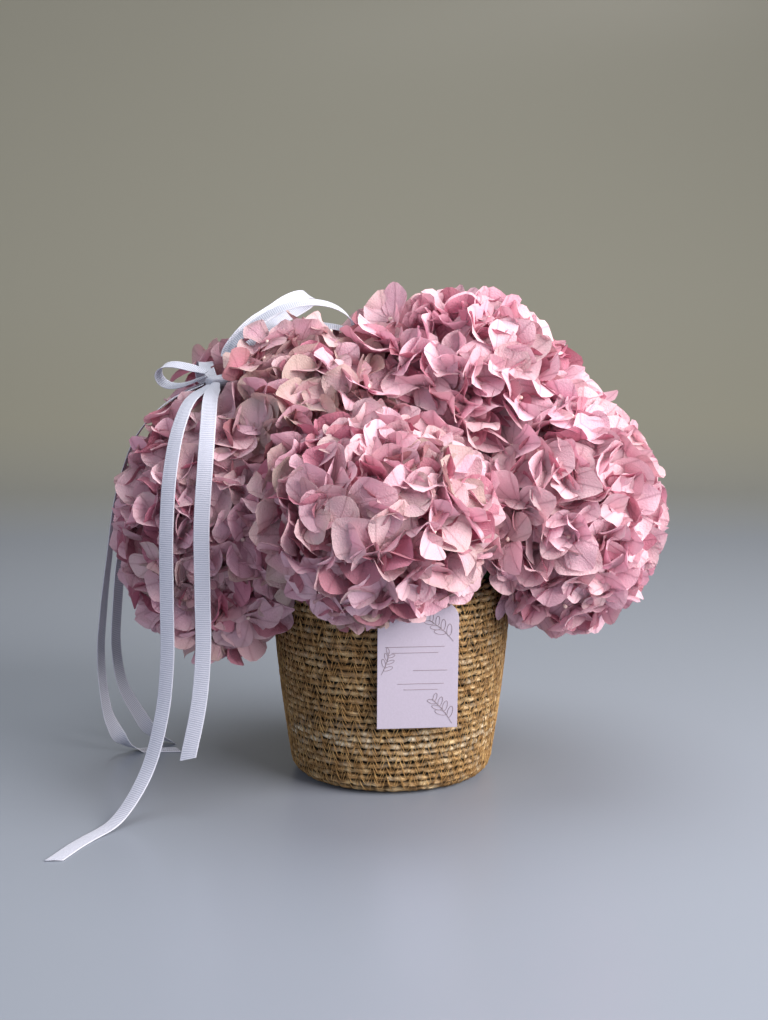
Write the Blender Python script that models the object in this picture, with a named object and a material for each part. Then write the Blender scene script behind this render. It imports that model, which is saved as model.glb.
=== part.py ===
"""Hydrangea heads cut and arranged in a coiled seagrass basket, with a double bow and a card.

Frame: the origin is the middle of the basket's foot on the table, +Z is up, the card is on the
-Y side and the bow is on the -X side.  All sizes are in metres.
"""
import math

import bmesh
import bpy
import numpy as np
from mathutils import Vector

# ---- clearances -------------------------------------------------------------------------
TOUCH_GAP = 0.0003          # between two pieces that touch
LINER_CLEARANCE = 0.0005    # liner in basket
FOAM_CLEARANCE = 0.0005     # foam in liner
STEM_CLEARANCE = 0.0004     # stem or pick in the hole that it was pushed into
BLOOM_CLEARANCE = 0.0008    # flower heads over the rim, foam and card
HEAD_GAP = 0.0010           # between two neighbouring flower heads
RIBBON_CLEARANCE = 0.0013   # ribbon over the petals that it crosses, on top of its edges' dip

# ---- basket -----------------------------------------------------------------------------
BASKET_HEIGHT = 0.145
BASKET_RIM_RADIUS = 0.0835
BASKET_FOOT_RADIUS = 0.0680
BASKET_BELLY = 0.0020
BASKET_WALL = 0.0050
BASKET_FLOOR = 0.0060
BASKET_FOOT_ROUND = 0.0120
BASKET_SIDES = 36

# ---- liner and foam ---------------------------------------------------------------------
LINER_WALL = 0.0012
LINER_BELOW_RIM = 0.0040
FOAM_ABOVE_RIM = 0.0120
FOAM_SHOULDER = 0.0090      # how far in from its side the foam's flat top starts
FOAM_BEVEL = 0.3            # where the shoulder's upper bevel starts, as a share of it
HEADS_SAG = 0.0040          # how far below the foam's top the heads reach at its shoulder

# ---- flower heads -----------------------------------------------------------------------
# name: compass angle from +X in degrees, distance of the middle from the basket's axis,
# height of the middle above the rim, radius across, radius up and down
HEADS = {
    "right": (-12, 0.1120, 0.037, 0.073, 0.080),
    "top_right": (8, 0.0490, 0.110, 0.075, 0.074),
    "top_left": (191, 0.0530, 0.092, 0.073, 0.066),
    "left": (193, 0.1170, 0.029, 0.068, 0.090),
    "front": (-97, 0.0845, 0.041, 0.077, 0.067),
    "back_right": (37, 0.1040, 0.060, 0.079, 0.079),
    "back_left": (141, 0.1050, 0.069, 0.079, 0.078),
    "back": (90, 0.1020, 0.042, 0.076, 0.074),
}
HEAD_LUMP = 0.045           # how deep the dips between florets are, as a share of the radius
HEAD_SIDES = 20
HEAD_RINGS = 12

# ---- stems ------------------------------------------------------------------------------
STEM_RADIUS = 0.0032
STEM_DEPTH = 0.0420         # how deep a stem goes below the rim
STEM_FOOT = 0.42            # its foot's distance from the axis, as a share of the head's
STEM_BEND = 0.50            # the same for its bend
STEM_ARCH = 0.0420          # height above the rim of the bend
STEM_SIDES = 8

# ---- card and its sticky pad ------------------------------------------------------------
CARD_WIDTH = 0.0520
CARD_HEIGHT = 0.0860
CARD_THICK = 0.0008
CARD_CORNER = 0.0130        # radius of the two upper corners
CARD_BELOW_RIM = 0.0105     # upper edge below the rim
CARD_TURN = 5.0             # degrees towards +X
CARD_ASIDE = 0.0095         # middle of the card beside the line where it meets the wall
PAD_SIZE = 0.0120
PAD_THICK = 0.0016
PAD_ABOVE_MIDDLE = 0.0150

# ---- ribbon -----------------------------------------------------------------------------
RIBBON_WIDTH = 0.0100
RIBBON_THICK = 0.0006
RIBBON_DIP = 0.24           # how far its edges may dip, as a share of its width
RIBBON_PINCH = 0.45         # share of its width that a ribbon keeps where it enters the knot
PINCH_LENGTH = 0.0130       # how far from the knot the pinch reaches
KNOT_HALF = (0.0085, 0.0070, 0.0050)
KNOT_HOLLOW = 0.0110        # room in the petals round the knot
LOOP_MOUTH = 0.0018         # half the distance between a loop's two ends at the knot
LOOP_TURN = 0.86            # share of half a turn at which a loop's ends stop
LOOP_START = 0.0075         # its ends' distance from the middle of the knot
TAIL_BELOW_KNOT = 0.0010    # where the tails leave it, below its middle
TAIL_START = 0.0100         # their ends' distance from the middle of the knot
TAIL_TILT = 0.004           # how far a tail's face follows the slope of the petals
TAIL_FLAT_BELOW = 0.20      # share of the head's height below which a tail turns flat
PICK_RADIUS = 0.0014
PICK_DEPTH = 0.0180         # how deep the bow's pick goes below the top of the rim
PICK_ANGLE = 214            # compass angle where the pick enters the foam
PICK_SPREAD = 0.0230        # how far inside the rim line it enters
PICK_GAP = 0.0012           # between the pick's upper end and the knot
HOLE_DEEPER = 0.0004        # how much deeper a stem's hole is than the stem and its clearance
PICK_HOLE_DEEPER = 0.0040   # how far the pick's hole runs on past both of its ends

# A loop: compass angle, rise angle, roll about its own length, length, opening, arch over the
# petals below it, height of its ends above the knot's middle as a share of the ribbon's width
LOOPS = {
    "right_upper": (53, 27, 38, 0.106, 0.010, 0.007, 0.70),
    "right_lower": (11, 22, 25, 0.097, 0.009, 0.013, -0.36),
    "left_front": (156, -3, -20, 0.046, 0.009, 0.000, 0.60),
    "left_back": (108, 7, 0, 0.056, 0.008, 0.002, -0.20),
}
# A tail runs over the left head, then hangs, and then may lie on the table.
# over: (angle from the front towards -X, angle up) on the head
# hang: (angle, distance outside the head, height as a share of the head's height)
TAILS = {
    "front_long": {
        "over": ((32, 66), (26, 48), (23, 28), (22, 8)),
        "hang": ((22, 0.005, 0.76), (22, 0.006, 0.56), (24, 0.010, 0.35), (28, 0.022, 0.14),
                 (30, 0.045, 0.02), (30, 0.075, 0.0), (28, 0.108, 0.0)),
        "lift": 0.0,
    },
    "front_short": {
        "over": ((4, 66), (2, 48), (2, 28), (3, 8)),
        "hang": ((3, 0.005, 0.80), (3, 0.006, 0.60), (5, 0.008, 0.42), (10, 0.012, 0.21)),
        "lift": 0.0016,
    },
    "back_wide": {
        "over": ((88, 64), (90, 42), (96, 20)),
        "hang": ((104, 0.014, 0.84), (109, 0.023, 0.63), (111, 0.028, 0.45), (113, 0.029, 0.30),
                 (116, 0.027, 0.15), (124, 0.0227, 0.036), (131, 0.0195, 0.0),
                 (146, 0.003, 0.0)),
        "lift": 0.0,
    },
    "back_thin": {
        "over": ((122, 62), (124, 42), (124, 20)),
        "hang": ((121, 0.017, 0.86), (120, 0.022, 0.63), (120, 0.024, 0.45), (122, 0.022, 0.30),
                 (129, 0.019, 0.17), (138, 0.018, 0.06), (148, 0.021, 0.0)),
        "lift": 0.0016,
    },
}
TAIL_STEPS = 34
LOOP_STEPS = 26

# ---- colours, roughness -----------------------------------------------------------------
LOOKS = {
    "seagrass": ((0.52, 0.35, 0.17), 0.85),
    "liner": ((0.05, 0.06, 0.05), 0.45),
    "foam": ((0.05, 0.18, 0.08), 0.95),
    "petals": ((0.78, 0.42, 0.52), 0.60),
    "stem": ((0.20, 0.30, 0.10), 0.60),
    "card": ((0.74, 0.68, 0.76), 0.55),
    "pad": ((0.85, 0.85, 0.82), 0.80),
    "ribbon": ((0.82, 0.85, 0.92), 0.55),
    "pick": ((0.40, 0.28, 0.15), 0.70),
}


# ---- helpers ----------------------------------------------------------------------------
def material(name):
    """One Principled material, made the first time that it is asked for."""
    made = bpy.data.materials.get(name)
    if made is None:
        colour, roughness = LOOKS[name]
        made = bpy.data.materials.new(name)
        made.use_nodes = True
        shader = made.node_tree.nodes["Principled BSDF"]
        shader.inputs["Base Color"].default_value = (*colour, 1.0)
        shader.inputs["Roughness"].default_value = roughness
        shader.inputs["Metallic"].default_value = 0.0
    return made


def put(name, mesh_data, look, smooth=True):
    """Turn a bmesh into an object with one material."""
    bmesh.ops.recalc_face_normals(mesh_data, faces=mesh_data.faces)
    mesh = bpy.data.meshes.new(name)
    mesh_data.to_mesh(mesh)
    mesh_data.free()
    if smooth:
        mesh.shade_smooth()
        mesh.set_sharp_from_angle(angle=math.radians(40))
    made = bpy.data.objects.new(name, mesh)
    bpy.context.scene.collection.objects.link(made)
    made.data.materials.append(material(look))
    return made


def as_cutter(made):
    """Mark an object as a cutter, which is not a piece."""
    made.hide_render = True
    made.display_type = "WIRE"
    return made


def cut(target, cutter):
    """Take the cutter's space out of the target."""
    boolean = target.modifiers.new(cutter.name, "BOOLEAN")
    boolean.operation = "DIFFERENCE"
    boolean.solver = "EXACT"
    boolean.object = cutter


def turned(profile, sides=BASKET_SIDES):
    """Turn a profile of (radius, height) about Z.

    The profile runs from the axis to the axis, and its two ends are closed with flat caps.
    """
    mesh_data = bmesh.new()
    rings = []
    for radius, height in profile:
        ring = []
        for step in range(sides):
            angle = 2 * math.pi * (step + 0.5) / sides
            ring.append(mesh_data.verts.new(
                (radius * math.cos(angle), radius * math.sin(angle), height)))
        rings.append(ring)
    for low, high in zip(rings, rings[1:]):
        for step in range(sides):
            nxt = (step + 1) % sides
            mesh_data.faces.new((low[step], low[nxt], high[nxt], high[step]))
    mesh_data.faces.new(rings[0])
    mesh_data.faces.new(rings[-1])
    return mesh_data


def swept(sections):
    """Join the cross-sections into a closed bar."""
    mesh_data = bmesh.new()
    rings = [[mesh_data.verts.new(Vector(corner)) for corner in section]
             for section in sections]
    count = len(rings[0])
    for low, high in zip(rings, rings[1:]):
        for step in range(count):
            nxt = (step + 1) % count
            mesh_data.faces.new((low[step], low[nxt], high[nxt], high[step]))
    mesh_data.faces.new(rings[0])
    mesh_data.faces.new(rings[-1])
    return mesh_data


def unit(vector):
    """The vector at length one, for one vector or for rows of them."""
    vector = np.asarray(vector, float)
    return vector / np.linalg.norm(vector, axis=-1, keepdims=True)


def smooth_path(points, count):
    """Points at equal steps along a smooth curve through the given ones.

    Each span is the cubic whose end slopes are those of the chord over both neighbours.
    Columns after the third ride along, such as the way that a ribbon faces.
    """
    points = np.asarray(points, float)
    spans = np.linalg.norm(np.diff(points[:, :3], axis=0), axis=1)
    knots = np.concatenate(([0.0], np.cumsum(spans)))
    slopes = np.gradient(points, knots, axis=0)
    fine = np.linspace(0.0, knots[-1], 20 * count)
    span = np.clip(np.searchsorted(knots, fine, side="right") - 1, 0, len(spans) - 1)
    size = spans[span][:, None]
    t = ((fine - knots[span]) / spans[span])[:, None]
    curve = ((2 * t ** 3 - 3 * t ** 2 + 1) * points[span]
             + (t ** 3 - 2 * t ** 2 + t) * size * slopes[span]
             + (3 * t ** 2 - 2 * t ** 3) * points[span + 1]
             + (t ** 3 - t ** 2) * size * slopes[span + 1])
    steps = np.linalg.norm(np.diff(curve[:, :3], axis=0), axis=1)
    along = np.concatenate(([0.0], np.cumsum(steps)))
    even = np.linspace(0.0, along[-1], count)
    return np.stack([np.interp(even, along, column) for column in curve.T], axis=1)


def tube(name, points, radius, look, sides=STEM_SIDES):
    """A round bar along a path."""
    points = np.asarray(points, float)
    ahead = unit(np.gradient(points, axis=0))
    side = unit(np.cross(ahead, (0.31, -0.95, 0.05)))
    over = np.cross(side, ahead)
    angles = 2 * math.pi * np.arange(sides) / sides
    sections = (points[:, None, :]
                + radius * np.cos(angles)[None, :, None] * side[:, None, :]
                + radius * np.sin(angles)[None, :, None] * over[:, None, :])
    return put(name, swept(sections), look)


def ribbon_lift():
    """Height of a ribbon's middle above the petals: its edges dip towards them."""
    return RIBBON_CLEARANCE + RIBBON_DIP * RIBBON_WIDTH


def band(name, points, facing, look="ribbon"):
    """A flat ribbon along a path; facing gives the way that its face looks at each point.

    The ribbon is gathered narrower near the knot.
    """
    points = np.asarray(points, float)
    away = np.linalg.norm(points - knot_middle(), axis=1, keepdims=True) - KNOT_HALF[0]
    width = RIBBON_WIDTH * (RIBBON_PINCH
                            + (1 - RIBBON_PINCH) * np.clip(away / PINCH_LENGTH, 0.0, 1.0))
    ahead = unit(np.gradient(points, axis=0))
    across = unit(np.cross(ahead, facing))
    outward = unit(np.cross(across, ahead))
    half_width = across * width / 2
    half_thick = outward * RIBBON_THICK / 2
    sections = np.stack((points - half_width - half_thick, points + half_width - half_thick,
                         points + half_width + half_thick, points - half_width + half_thick),
                        axis=1)
    return put(name, swept(sections), look)


# ---- basket, liner, foam ----------------------------------------------------------------
def basket_radius(height):
    """Outer radius of the basket: a straight taper with a slight belly."""
    share = height / BASKET_HEIGHT
    taper = BASKET_FOOT_RADIUS + (BASKET_RIM_RADIUS - BASKET_FOOT_RADIUS) * share
    return taper + BASKET_BELLY * math.sin(math.pi * min(max(share, 0.0), 1.0))


def wall_profile(offset, low, high, steps=7):
    """Profile points at an offset outside the basket wall, from low to high."""
    heights = [low + (high - low) * step / (steps - 1) for step in range(steps)]
    return [(basket_radius(height) + offset, height) for height in heights]


def foot_arc(offset=0.0, steps=5):
    """The rounded edge between the underside and the wall, from below upwards."""
    middle = basket_radius(BASKET_FOOT_ROUND) - BASKET_FOOT_ROUND
    size = BASKET_FOOT_ROUND + offset
    angles = [math.pi / 2 * step / steps for step in range(steps)]
    return [(middle + size * math.sin(angle), BASKET_FOOT_ROUND - size * math.cos(angle))
            for angle in angles]


def make_basket():
    """The woven cup: wall, floor and rounded rim as one shell."""
    half = BASKET_WALL / 2
    rim_height = BASKET_HEIGHT - half
    rim_middle = basket_radius(rim_height) - half
    rim = [(rim_middle + half * math.cos(angle), rim_height + half * math.sin(angle))
           for angle in (math.pi * step / 4 for step in range(1, 4))]
    outside = foot_arc() + wall_profile(0.0, BASKET_FOOT_ROUND, rim_height)
    inside = wall_profile(-BASKET_WALL, BASKET_FLOOR, rim_height, steps=5)[::-1]
    return put("basket", turned(outside + rim + inside), "seagrass")


def make_liner():
    """The waterproof liner inside the basket."""
    outer = -(BASKET_WALL + LINER_CLEARANCE)
    low = BASKET_FLOOR + TOUCH_GAP
    high = BASKET_HEIGHT - LINER_BELOW_RIM
    outside = wall_profile(outer, low, high, steps=4)
    inside = wall_profile(outer - LINER_WALL, low + LINER_WALL, high, steps=4)[::-1]
    return put("liner", turned(outside + inside), "liner")


def foam_top():
    """Height of the foam's top."""
    return BASKET_HEIGHT + FOAM_ABOVE_RIM


def make_foam():
    """The floral foam that fills the liner and stands a little above the rim."""
    inset = -(BASKET_WALL + LINER_CLEARANCE + LINER_WALL + FOAM_CLEARANCE)
    low = BASKET_FLOOR + TOUCH_GAP + LINER_WALL + FOAM_CLEARANCE
    side = wall_profile(inset, low, BASKET_HEIGHT, steps=4)
    last = side[-1][0]
    top = [(last - FOAM_SHOULDER * FOAM_BEVEL, foam_top() - FOAM_SHOULDER * FOAM_BEVEL),
           (last - FOAM_SHOULDER, foam_top())]
    return put("floral_foam", turned(side + top), "foam")


def make_envelope():
    """The space that the basket and the foam take away from the flower heads."""
    over = BLOOM_CLEARANCE
    outside = [(basket_radius(0.0) + over, 0.0)] + wall_profile(over, 0.02, BASKET_HEIGHT, 6)
    last = outside[-1][0]
    top = [(last, BASKET_HEIGHT + over), (last - BASKET_WALL, foam_top() + over - HEADS_SAG),
           (last - BASKET_WALL - FOAM_SHOULDER, foam_top() + over)]
    return as_cutter(put("envelope_cutter", turned(outside + top), "foam"))


# ---- flower heads and stems -------------------------------------------------------------
def head_middle(name):
    """The middle of a flower head."""
    angle, reach, above, _, _ = HEADS[name]
    angle = math.radians(angle)
    return np.array((reach * math.cos(angle), reach * math.sin(angle), BASKET_HEIGHT + above))


def head_radii(name):
    """The three radii of a flower head."""
    across, up = HEADS[name][3:]
    return np.array((across, across, up))


def reach_in(name, ways):
    """Distance from a head's middle to its round outline along each way."""
    return 1.0 / np.linalg.norm(ways / head_radii(name), axis=-1)


def lumps(ways, seed):
    """Dips between florets, from 0 at a floret to 1 in a dip: four crossed waves."""
    random = np.random.default_rng(seed)
    axes = unit(random.normal(size=(4, 3)))
    phases = random.uniform(0, 2 * math.pi, 4)
    waves = np.cos(6.0 * ways @ axes.T + phases)
    return 0.5 - 0.5 * waves.mean(axis=1)


def make_head(name, seed, cutters):
    """One mophead: a lumpy ball, flattened where its neighbours press on it."""
    middle = head_middle(name)
    mesh_data = bmesh.new()
    bmesh.ops.create_uvsphere(mesh_data, u_segments=HEAD_SIDES, v_segments=HEAD_RINGS,
                              radius=1.0)
    ways = unit([vert.co[:] for vert in mesh_data.verts])
    size = reach_in(name, ways) * (1 - HEAD_LUMP * lumps(ways, seed))
    for other in HEADS:
        if other == name:
            continue
        toward = head_middle(other) - middle
        apart = np.linalg.norm(toward)
        toward = toward / apart
        own = reach_in(name, toward)
        share = own / (own + reach_in(other, toward))
        facing = np.maximum(ways @ toward, 1e-6)
        size = np.minimum(size, (apart * share - HEAD_GAP / 2) / facing)
    for vert, way, length in zip(mesh_data.verts, ways, size):
        vert.co = Vector(middle + way * length)
    made = put("flower_head_" + name, mesh_data, "petals")
    for cutter in cutters:
        cut(made, cutter)
    return made


def stem_path(name):
    """From deep in the foam, up over the rim, and into the middle of the head."""
    middle = head_middle(name)
    start = middle * STEM_FOOT
    start[2] = BASKET_HEIGHT - STEM_DEPTH
    bend = middle * STEM_BEND
    bend[2] = BASKET_HEIGHT + STEM_ARCH
    t = np.linspace(0.0, 1.0, 11)[:, None]
    return (1 - t) ** 2 * start + 2 * t * (1 - t) * bend + t ** 2 * middle


def longer(points, by):
    """The path with both ends drawn out."""
    first = points[0] - unit(points[1] - points[0]) * by
    last = points[-1] + unit(points[-1] - points[-2]) * by
    return np.concatenate(([first], points, [last]))


def make_stem(name):
    """A stem and the cutter for its hole."""
    points = stem_path(name)
    stem = tube("stem_" + name, points, STEM_RADIUS, "stem")
    hole = tube("hole_" + name, longer(points, STEM_CLEARANCE + HOLE_DEEPER),
                STEM_RADIUS + STEM_CLEARANCE, "stem")
    return stem, as_cutter(hole)


# ---- card -------------------------------------------------------------------------------
def card_frame():
    """The card's middle, and its directions to the right, up and outwards.

    The card is parallel to the wall's taper and stands a pad's thickness off its belly.
    """
    turn = math.radians(CARD_TURN)
    tilt = math.atan2(BASKET_RIM_RADIUS - BASKET_FOOT_RADIUS, BASKET_HEIGHT)
    right = np.array((math.cos(turn), math.sin(turn), 0.0))
    level = np.array((math.sin(turn), -math.cos(turn), 0.0))
    up = level * math.sin(tilt) + np.array((0.0, 0.0, math.cos(tilt)))
    outward = level * math.cos(tilt) - np.array((0.0, 0.0, math.sin(tilt)))
    top = BASKET_HEIGHT - CARD_BELOW_RIM
    heights = np.linspace(top - CARD_HEIGHT, top, 30)
    radii = np.array([basket_radius(height) for height in heights])
    stand = (radii * math.cos(tilt) - heights * math.sin(tilt)).max()
    stand += 2 * TOUCH_GAP + PAD_THICK + CARD_THICK / 2
    middle_height = top - CARD_HEIGHT / 2 * math.cos(tilt)
    along = (middle_height + stand * math.sin(tilt)) / math.cos(tilt)
    middle = outward * stand + up * along + right * CARD_ASIDE
    return middle, right, up, outward


def slab(name, outline, thick, middle, right, up, outward, look):
    """A flat plate with the given outline in its own plane."""
    mesh_data = bmesh.new()
    faces = []
    for side in (-0.5, 0.5):
        ring = [mesh_data.verts.new(Vector(middle + right * x + up * y + outward * thick * side))
                for x, y in outline]
        faces.append(ring)
    count = len(outline)
    for step in range(count):
        nxt = (step + 1) % count
        mesh_data.faces.new((faces[0][step], faces[0][nxt], faces[1][nxt], faces[1][step]))
    mesh_data.faces.new(faces[0])
    mesh_data.faces.new(faces[1])
    return put(name, mesh_data, look, smooth=False)


def card_outline(grow=0.0):
    """Square lower corners and rounded upper ones."""
    half = CARD_WIDTH / 2 + grow
    low = -CARD_HEIGHT / 2 - grow
    round_x = CARD_WIDTH / 2 - CARD_CORNER
    round_y = CARD_HEIGHT / 2 - CARD_CORNER
    size = CARD_CORNER + grow
    outline = [(-half, low), (half, low)]
    for middle, first in ((round_x, 0.0), (-round_x, math.pi / 2)):
        for step in range(6):
            angle = first + math.pi / 2 * step / 5
            outline.append((middle + size * math.cos(angle), round_y + size * math.sin(angle)))
    return outline


def make_card():
    """The card, the pad that holds it on the wall, and the slot that it takes in the petals."""
    middle, right, up, outward = card_frame()
    slab("card", card_outline(), CARD_THICK, middle, right, up, outward, "card")
    slot = slab("card_slot_cutter", card_outline(BLOOM_CLEARANCE),
                CARD_THICK + 2 * BLOOM_CLEARANCE, middle, right, up, outward, "card")
    half = PAD_SIZE / 2
    corners = [(-half, -half), (half, -half), (half, half), (-half, half)]
    depth = 3 * PAD_THICK
    pad_middle = (middle - right * CARD_ASIDE + up * PAD_ABOVE_MIDDLE
                  - outward * (CARD_THICK / 2 + TOUCH_GAP + depth / 2))
    pad = slab("card_pad", corners, depth, pad_middle, right, up, outward, "pad")
    wall = wall_profile(TOUCH_GAP, 0.01, BASKET_HEIGHT, 14)
    wall_cutter = as_cutter(put("wall_cutter", turned(wall, sides=2 * BASKET_SIDES), "seagrass"))
    cut(pad, wall_cutter)
    return as_cutter(slot)


# ---- bow --------------------------------------------------------------------------------
def knot_middle():
    """The knot lies on top of the left head."""
    above = head_radii("left")[2] + KNOT_HALF[2]
    return head_middle("left") + np.array((0.0, 0.0, above))


def clear_of_heads(points, lift):
    """Move the points that are inside a head, or too near it, straight out of it.

    Each point has its own lift above the petals.  Within the hollow round the knot they stay
    where they are.
    """
    start = np.array(points, float)
    points = start.copy()
    for _ in range(6):
        for name in HEADS:
            radii = head_radii(name) + lift[:, None]
            local = (points - head_middle(name)) / radii
            size = np.linalg.norm(local, axis=1, keepdims=True)
            inside = size[:, 0] < 1.0
            points[inside] = (head_middle(name) + local / size * radii)[inside]
    away = np.linalg.norm(start - knot_middle(), axis=1, keepdims=True) - KNOT_HALF[0]
    return start + (points - start) * np.clip(away / KNOT_HOLLOW, 0.0, 1.0)


def make_knot():
    """The knot, and the hollow that it presses into the petals."""
    made = []
    for name, grow in (("bow_knot", 0.0), ("knot_cutter", KNOT_HOLLOW)):
        mesh_data = bmesh.new()
        bmesh.ops.create_uvsphere(mesh_data, u_segments=14, v_segments=9, radius=1.0)
        radii = np.array(KNOT_HALF) + grow
        for vert in mesh_data.verts:
            vert.co = Vector(knot_middle() + np.array(vert.co) * radii)
        made.append(put(name, mesh_data, "ribbon"))
    return as_cutter(made[1])


def make_loop(name, angle, rise, roll, length, opening, arch, root_height):
    """One loop of the bow: a drop shape in a rolled plane that starts and ends at the knot.

    Along the loop: reach = (1 + cos a) / 2 of its length.  From strand to strand:
    (opening * reach + mouth) * sin a.  Above it: 4 * arch * reach * (1 - reach).  The angle a
    runs from just after one end to just before the other.
    """
    angle = math.radians(angle)
    rise = math.radians(rise)
    level = np.array((math.cos(angle), math.sin(angle), 0.0))
    along = level * math.cos(rise) + np.array((0.0, 0.0, math.sin(rise)))
    above = np.array((0.0, 0.0, math.cos(rise))) - level * math.sin(rise)
    roll = math.radians(roll)
    over = above * math.cos(roll) + np.cross(along, above) * math.sin(roll)
    turn = np.linspace(-LOOP_TURN * math.pi, LOOP_TURN * math.pi, LOOP_STEPS)
    reach = (1 + np.cos(turn)) / 2
    root = knot_middle() + np.array((0.0, 0.0, root_height * RIBBON_WIDTH))
    rising = (opening * reach + LOOP_MOUTH) * np.sin(turn)
    bent = 4 * arch * reach * (1 - reach)
    points = (root + along * (LOOP_START + (length - LOOP_START) * reach)[:, None]
              + over * rising[:, None] + above * bent[:, None])
    points = clear_of_heads(points, ribbon_lift() + 2 * np.maximum(rising, 0.0))
    points = smooth_path(points, LOOP_STEPS)
    facing = np.cross(np.cross(along, over), np.gradient(points, axis=0))
    return band("bow_loop_" + name, points, facing)


def over_head(turn, up, lift):
    """A point on the left head; turn is from the front towards -X, up is from the level."""
    turn = math.radians(turn)
    up = math.radians(up)
    way = np.array((-math.sin(turn) * math.cos(up), -math.cos(turn) * math.cos(up),
                    math.sin(up)))
    return head_middle("left") + way * (head_radii("left") + ribbon_lift() + lift), way


def beside_head(turn, outside, share, lift):
    """A point that hangs outside the left head, or lies on the table where the share is 0."""
    turn = math.radians(turn)
    way = np.array((-math.sin(turn), -math.cos(turn), 0.0))
    point = head_middle("left") + way * (head_radii("left")[0] + outside)
    point[2] = TOUCH_GAP + RIBBON_THICK + share * head_middle("left")[2]
    point[:2] += way[:2] * lift
    return point, way


def make_tail(name, over, hang, lift):
    """One tail: over the left head, down beside it, and along the table."""
    points = []
    facing = []
    first = over_head(over[0][0], over[0][1], lift)
    start = knot_middle() + unit((*(first[0] - knot_middle())[:2], 0.0)) * TAIL_START
    start[2] += lift - TAIL_BELOW_KNOT
    points.append(start)
    facing.append((0.0, 0.0, 1.0))
    for turn, up in over:
        point, way = over_head(turn, up, lift)
        points.append(point)
        facing.append(way / head_radii("left") ** 2 * TAIL_TILT)
    for turn, outside, share in hang:
        point, way = beside_head(turn, outside, share, lift)
        points.append(point)
        flat = max(0.0, 1.0 - share / TAIL_FLAT_BELOW)
        facing.append((1 - flat) * way + flat * np.array((0.0, 0.0, 1.0)))
    path = smooth_path(np.hstack((points, unit(facing))), TAIL_STEPS)
    path[:, 2] = np.maximum(path[:, 2], TOUCH_GAP + RIBBON_THICK)
    return band("ribbon_tail_" + name, path[:, :3], path[:, 3:])


def make_pick():
    """The wooden pick that holds the bow, and the cutter for its hole."""
    angle = math.radians(PICK_ANGLE)
    reach = BASKET_RIM_RADIUS - PICK_SPREAD
    low = np.array((reach * math.cos(angle), reach * math.sin(angle),
                    BASKET_HEIGHT - PICK_DEPTH))
    way = unit(knot_middle() - low)
    high = knot_middle() - way * (KNOT_HALF[2] / abs(way[2]) + PICK_GAP)
    points = np.linspace(low, high, 4)
    tube("bow_pick", points, PICK_RADIUS, "pick", sides=6)
    hole = tube("hole_pick", longer(points, PICK_HOLE_DEEPER), PICK_RADIUS + STEM_CLEARANCE, "pick",
                sides=6)
    return as_cutter(hole)


# ---- the whole --------------------------------------------------------------------------
def boxes_meet(first, second):
    """Whether the boxes round two objects meet."""
    corners = []
    for made in (first, second):
        spots = np.array([vert.co[:] for vert in made.data.vertices])
        corners.append((spots.min(axis=0), spots.max(axis=0)))
    (low_a, high_a), (low_b, high_b) = corners
    return bool(np.all(low_a < high_b) and np.all(low_b < high_a))


def main():
    for old in list(bpy.data.objects):
        bpy.data.objects.remove(old, do_unlink=True)
    make_basket()
    make_liner()
    foam = make_foam()
    envelope = make_envelope()
    slot = make_card()
    hollow = make_knot()
    pick_hole = make_pick()
    holes = [make_stem(name)[1] for name in HEADS]
    for hole in holes + [pick_hole]:
        cut(foam, hole)
    for seed, name in enumerate(HEADS):
        head = make_head(name, seed, [envelope])
        for cutter in holes + [slot, hollow, pick_hole]:
            if boxes_meet(head, cutter):
                cut(head, cutter)
    for name, values in LOOPS.items():
        make_loop(name, *values)
    for name, values in TAILS.items():
        make_tail(name, values["over"], values["hang"], values["lift"])


main()
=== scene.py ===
"""Looks for the hydrangea basket: petals, coiled seagrass, grosgrain bow, card and studio.

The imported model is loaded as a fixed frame.  +Z is up, the card is on the -Y side and the bow
is on the -X side.  All sizes are in metres.
"""
import math

import bpy
import numpy as np
from bpy.props import FloatProperty, FloatVectorProperty, IntProperty, PointerProperty
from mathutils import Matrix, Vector
from mathutils.bvhtree import BVHTree


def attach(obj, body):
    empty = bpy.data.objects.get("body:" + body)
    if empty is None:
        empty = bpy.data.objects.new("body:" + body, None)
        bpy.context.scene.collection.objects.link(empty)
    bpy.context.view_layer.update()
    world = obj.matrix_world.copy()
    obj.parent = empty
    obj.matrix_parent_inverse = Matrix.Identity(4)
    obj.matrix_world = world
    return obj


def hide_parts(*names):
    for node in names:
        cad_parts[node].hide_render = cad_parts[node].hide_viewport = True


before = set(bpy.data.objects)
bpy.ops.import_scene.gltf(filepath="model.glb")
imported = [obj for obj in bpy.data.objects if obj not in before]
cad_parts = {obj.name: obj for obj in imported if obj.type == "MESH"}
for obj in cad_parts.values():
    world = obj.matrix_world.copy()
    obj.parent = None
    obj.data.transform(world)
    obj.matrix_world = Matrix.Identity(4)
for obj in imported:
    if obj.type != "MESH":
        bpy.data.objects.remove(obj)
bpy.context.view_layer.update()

bl_info = {
    "name": "Hydrangea basket",
    "version": (1, 0, 0),
    "blender": (4, 5, 0),
    "location": "3D View > Sidebar > Hydrangea",
    "description": "Makes the petals, basket, bow, card and studio of a hydrangea arrangement",
    "category": "Add Mesh",
}

# ---- fixed sizes, the same as in the part's source ---------------------------------------
TOUCH_GAP = 0.0003
BASKET_HEIGHT = 0.145
BASKET_RIM_RADIUS = 0.0835
BASKET_FOOT_RADIUS = 0.0680
BASKET_BELLY = 0.0020
BASKET_WALL = 0.0050
BASKET_FOOT_ROUND = 0.0120
FOAM_TOP = 0.157
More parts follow.
